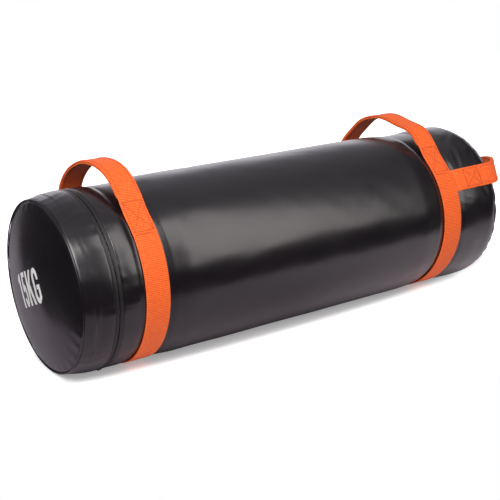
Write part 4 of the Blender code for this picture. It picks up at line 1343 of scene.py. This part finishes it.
def make_webbing_weave():
    """Polypropylene webbing, woven: bright orange ribs across the strap, with warp ends 0.8 mm apart.

    The ribs are drawn 2 mm apart, a little coarser than the real 1.6 mm, so that they show. Their colour is
    painted darker in the grooves between ribs and warp ends, as shade, under a random mottle.
    """
    weave, _ = new_material("woven_webbing", "F5651D", 0.72, Sheen_Weight=0.08, Sheen_Roughness=0.4,
                            Specular_IOR_Level=0.35)
    lengths = add(weave, "ShaderNodeAttribute", {"attribute_name": "weave"}).outputs["Vector"]
    turned = [add(weave, "ShaderNodeMapping", Vector=lengths, Rotation=(0, 0, turn)).outputs[0]
              for turn in (RIB_SLANT, math.pi / 2)]
    ribs = bands(weave, turned[0], RIB_PITCH, "Y")
    ends = bands(weave, turned[1], WARP_PITCH, "Y")
    yarn = blend_values(weave, ribs, ends, 0.35)
    groove_shade_and_mottle = blend_values(weave, yarn, noise(weave, lengths, MOTTLE_SIZE, 3), 0.35)
    # Painted shade: the weave is coloured darker where its ribs and warp ends sink, mixed with a random
    # mottle
    colour(weave, groove_shade_and_mottle, (0.2, "D43C0A"), (0.5, "F45E17"), (0.8, "FA863E"))
    link(weave, bump(weave, yarn, RIB_DEPTH), "Normal")
    return weave


def make_thread():
    """Polyester thread, twisted: a shade darker than the webbing that it sinks into."""
    thread, spot = new_material("sewing_thread", "C9480F", 0.6)
    twist = bands(thread, spot, TWIST_PITCH, "DIAGONAL")
    colour(thread, twist, (0.2, "A3380C"), (0.8, "CC5012"))
    link(thread, bump(thread, twist, TWIST_DEPTH), "Normal")
    return thread


def make_tape_coating():
    """Polyurethane film over woven zip tape: black, with the tape's 0.7 mm twill just showing through."""
    tape, spot = new_material("coated_zip_tape", "1B191B", 0.34)
    cloud = noise(tape, spot, WEAR_SIZE, 3)
    colour(tape, cloud, (0.3, "171517"), (0.7, "201E20"))
    polish(tape, cloud, 0.28, 0.42)
    link(tape, bump(tape, bands(tape, spot, TWILL_PITCH, "DIAGONAL"), TWILL_DEPTH), "Normal")
    return tape


def make_coil_nylon():
    """Nylon monofilament, coiled: black with a plastic shine."""
    nylon, spot = new_material("coil_nylon", "141414", 0.35, IOR=1.53)
    cloud = noise(nylon, spot, MOTTLE_SIZE, 2)
    colour(nylon, cloud, (0.3, "101010"), (0.7, "1C1C1C"))
    polish(nylon, cloud, 0.28, 0.45)
    return nylon


def make_slider_metal():
    """Zinc alloy, die-cast and blackened: dark metal, with rubbed patches that are brighter and smoother."""
    metal, spot = new_material("blackened_zinc", "39393C", 0.38, Metallic=1.0)
    rubbed = noise(metal, spot, RUB_SIZE, 4)
    colour(metal, rubbed, (0.35, "2E2E31"), (0.62, "46464A"), (0.75, "6E6E72"))
    polish(metal, rubbed, 0.46, 0.26)
    link(metal, bump(metal, noise(metal, spot, CAST_SIZE, 2), CAST_DEPTH), "Normal")
    return metal


def make_print_ink():
    """Plastisol ink, screen printed: an off-white film, mottled where it takes the leather's grain."""
    ink, spot = new_material("printed_ink", "E6E4E4", 0.5)
    colour(ink, noise(ink, spot, WEAR_SIZE, 3), (0.3, "DAD8D9"), (0.7, "EFEDEC"))
    link(ink, bump(ink, noise(ink, spot, PEBBLE_SIZE, 2), INK_DEPTH), "Normal")
    return ink


def make_foam():
    """Polyurethane foam, cut from a sheet: grey open cells a millimetre wide, quite without shine."""
    foam, spot = new_material("cut_foam", "4A4B4D", 0.95)
    cells = add(foam, "ShaderNodeTexVoronoi", Vector=spot, Scale=1 / CELL_SIZE).outputs["Distance"]
    colour(foam, cells, (0.1, "2F3031"), (0.6, "56575A"))
    link(foam, bump(foam, cells, CELL_DEPTH), "Normal")
    return foam


def make_sack_fabric():
    """Polypropylene sacking, woven: off-white flat tapes 2.4 mm wide, over and under each other."""
    fabric, spot = new_material("woven_sacking", "D8D2C4", 0.55)
    tapes = [bands(fabric, spot, SACK_PITCH, direction) for direction in ("X", "Z")]
    over = blend_values(fabric, *tapes, 0.5)
    colour(fabric, over, (0.2, "BDB6A6"), (0.8, "E4DFD2"))
    link(fabric, bump(fabric, over, SACK_DEPTH), "Normal")
    return fabric


def make_sand_grains():
    """Silica sand, washed and dried: pale brown grains, drawn 1.2 mm wide so that they show."""
    sand, spot = new_material("dry_sand", "C2A878", 1.0)
    grains = add(sand, "ShaderNodeTexVoronoi", Vector=spot, Scale=1 / GRAIN_SIZE).outputs
    split = add(sand, "ShaderNodeSeparateColor", Color=grains["Color"]).outputs[0]
    colour(sand, split, (0.1, "8F7448"), (0.5, "C2A878"), (0.9, "E2D2AC"))
    link(sand, bump(sand, grains["Distance"], SAND_DEPTH), "Normal")
    return sand


def make_tie_cord():
    """Cotton cord, braided: off-white strands 1 mm wide, crossing on a slant."""
    cord, spot = new_material("braided_cord", "E6E2D8", 0.9)
    strands = bands(cord, spot, STRAND_PITCH, "DIAGONAL")
    colour(cord, strands, (0.2, "C4BEAF"), (0.8, "EEEAE0"))
    link(cord, bump(cord, strands, STRAND_DEPTH), "Normal")
    return cord


# Studio

def make_softbox(name, place, size, power, tint):
    """A big soft light that faces the bag."""
    lamp = bpy.data.lights.new(name, "AREA")
    lamp.shape = "RECTANGLE"
    lamp.size, lamp.size_y = size
    lamp.energy = power
    lamp.color = srgb(tint)[:3]
    item = place_object(name, lamp)
    item.location = place
    item.rotation_mode = "QUATERNION"
    item.rotation_quaternion = (Vector(SOFTBOX_AIM) - Vector(place)).to_track_quat("-Z", "Y")


def make_world():
    """A dim room with a lighter ceiling and a white backdrop behind the bag; the camera sees plain white."""
    world = bpy.data.worlds.new("studio")
    bpy.context.scene.world = world
    world.use_nodes = True
    nodes = world.node_tree.nodes
    links = world.node_tree.links
    heading = add(world, "ShaderNodeTexCoord").outputs["Generated"]
    aside, _, height = add(world, "ShaderNodeSeparateXYZ", Vector=heading).outputs
    facing = add(world, "ShaderNodeVectorMath", {"operation": "DOT_PRODUCT"}, i0=heading,
                 i1=BACKDROP_HEADING).outputs["Value"]
    ceiling = between(world, aside, CEILING_SIDES, (CEILING_LIGHT, CEILING_END_LIGHT))
    room = between(world, height, CEILING_HEIGHTS, (ROOM_LIGHT, ceiling))
    behind = between(world, facing, BACKDROP_FACINGS, (0.0, 1.0))
    backdrop = maths(world, "MULTIPLY", behind, between(world, height, BACKDROP_HEIGHTS, (1.0, 0.0)))
    path = add(world, "ShaderNodeLightPath").outputs
    mirrored = maths(world, "MAXIMUM", path["Is Glossy Ray"], path["Is Transmission Ray"])
    white = maths(world, "MULTIPLY_ADD", mirrored, backdrop, path["Is Camera Ray"])
    shown = add(world, "ShaderNodeMix", {"data_type": "FLOAT"}, i0=white, i2=room, i3=1.0).outputs[0]
    tint = shades(world, path["Is Camera Ray"], (0, ROOM_TINT), (1, "FFFFFF"))
    links.new(tint, nodes["Background"].inputs["Color"])
    links.new(shown, nodes["Background"].inputs["Strength"])
    links.new(nodes["Background"].outputs[0], nodes["World Output"].inputs["Surface"])


def make_table():
    """Melamine board, pressed smooth: white, with a faint soft mirror of what stands on it.

    Away from the bag it fades to the white of the backdrop. The colour that the bag mirrors of it is painted
    light and shade: a dark purplish grey at the lid's end, lighter towards the far end.
    """
    mesh = bpy.data.meshes.new("table")
    mesh.from_pydata([(x, y, 0.0) for x, y in TABLE_CORNERS], [], [[0, 1, 2, 3]])
    board, spot = new_material("white_melamine", TABLE_COLOUR, 0.3, Emission_Color=(1, 1, 1, 1))
    mesh.materials.append(board)
    path = add(board, "ShaderNodeLightPath").outputs
    along = add(board, "ShaderNodeSeparateXYZ", Vector=spot).outputs["X"]
    far = between(board, along, TABLE_PAINTED_LIGHT_RUN, (0.0, 1.0), "LINEAR")
    # Painted reflection: glossy rays see a colour that runs from painted shade at the lid's end to painted
    # light at the far end
    mirrored = shades(board, far, (0, "A399A3"), (1, "F0E8F0"))
    base = add(board, "ShaderNodeMix", {"data_type": "RGBA"}, i0=path["Is Glossy Ray"],
               i6=srgb(TABLE_COLOUR), i7=mirrored)
    link(board, base.outputs[2], "Base Color")
    length, depth = TABLE_CLEAR
    clear = add(board, "ShaderNodeMapping", Vector=spot, Location=(-TABLE_CLEAR_MIDDLE / length, 0, 0),
                Scale=(1 / length, 1 / depth, 0))
    away = add(board, "ShaderNodeVectorMath", {"operation": "LENGTH"}, i0=clear.outputs[0]).outputs["Value"]
    glow = between(board, away, (1.0, TABLE_FADE_SHARE), (TABLE_GLOW, 1.0))
    link(board, maths(board, "MULTIPLY", path["Is Camera Ray"], glow), "Emission Strength")
    place_object("table", mesh)


def make_camera():
    """The photograph's camera."""
    lens = bpy.data.cameras.new("photo_view")
    lens.sensor_width = SENSOR_WIDTH
    lens.lens = LENS_LENGTH
    camera = place_object("photo_view", lens)
    camera.location = CAMERA_PLACE
    camera.rotation_mode = "QUATERNION"
    camera.rotation_quaternion = Vector(CAMERA_HEADING).to_track_quat("-Z", "Y")
    bpy.context.scene.camera = camera


def make_studio():
    """Room, table, lights and camera."""
    make_world()
    make_table()
    for softbox in SOFTBOXES:
        make_softbox(*softbox)
    make_camera()
    bpy.context.scene.view_settings.view_transform = "Standard"


# The whole object

def make_cover(leather):
    """The cover's pieces. Gives back the lid, which carries the weight mark."""
    lid = make_lid_panel(leather)
    for piece, node in ((make_cover_tube(leather), "cover_body"), (make_lid_band(leather), "cover_lid_band"),
                        (lid, "cover_lid_panel"), (make_rim_welt(leather), "lid_welt"),
                        (make_end_panel(leather), "cover_end_panel")):
        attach(piece, "bag")
        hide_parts(node)
    return lid


def make_inside(foam):
    """Foam round the sack of sand, and the sack's tie."""
    for piece, node, slot, fill in (
            (make_foam_sleeve(foam), "foam_wrap", "foam", 0.9),
            (make_lid_cushion(foam), "foam_lid_pad", "foam", 0.9),
            (make_end_cushion(foam), "foam_end_pad", "foam", 0.9),
            (make_sand_sack(make_sack_fabric()), "filler_bag", "filler_fabric", 0.95),
            (make_sand(make_sand_grains()), "sand_fill", "sand", None),
            (make_neck_tie(make_tie_cord()), "filler_neck_tie", "tie_cord", None)):
        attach(piece, "bag")
        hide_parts(node)


def main():
    """Dress the bag and set up its picture."""
    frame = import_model()
    leather = make_leather()
    weave = make_webbing_weave()
    thread = make_thread()
    metal = make_slider_metal()
    lid = make_cover(leather)
    for side in GRIPS:
        make_grip(side, weave, thread)
    make_end_grip(weave, thread)
    make_zip_track(make_tape_coating(), make_coil_nylon(), leather)
    for name in ("zip_slider", "zip_pull", "zip_stop_closed", "zip_stop_open"):
        frame["nodes"][name].data.materials.clear()
        frame["nodes"][name].data.materials.append(metal)
    make_weight_mark(make_print_ink(), lid)
    make_inside(make_foam())
    make_studio()


main()
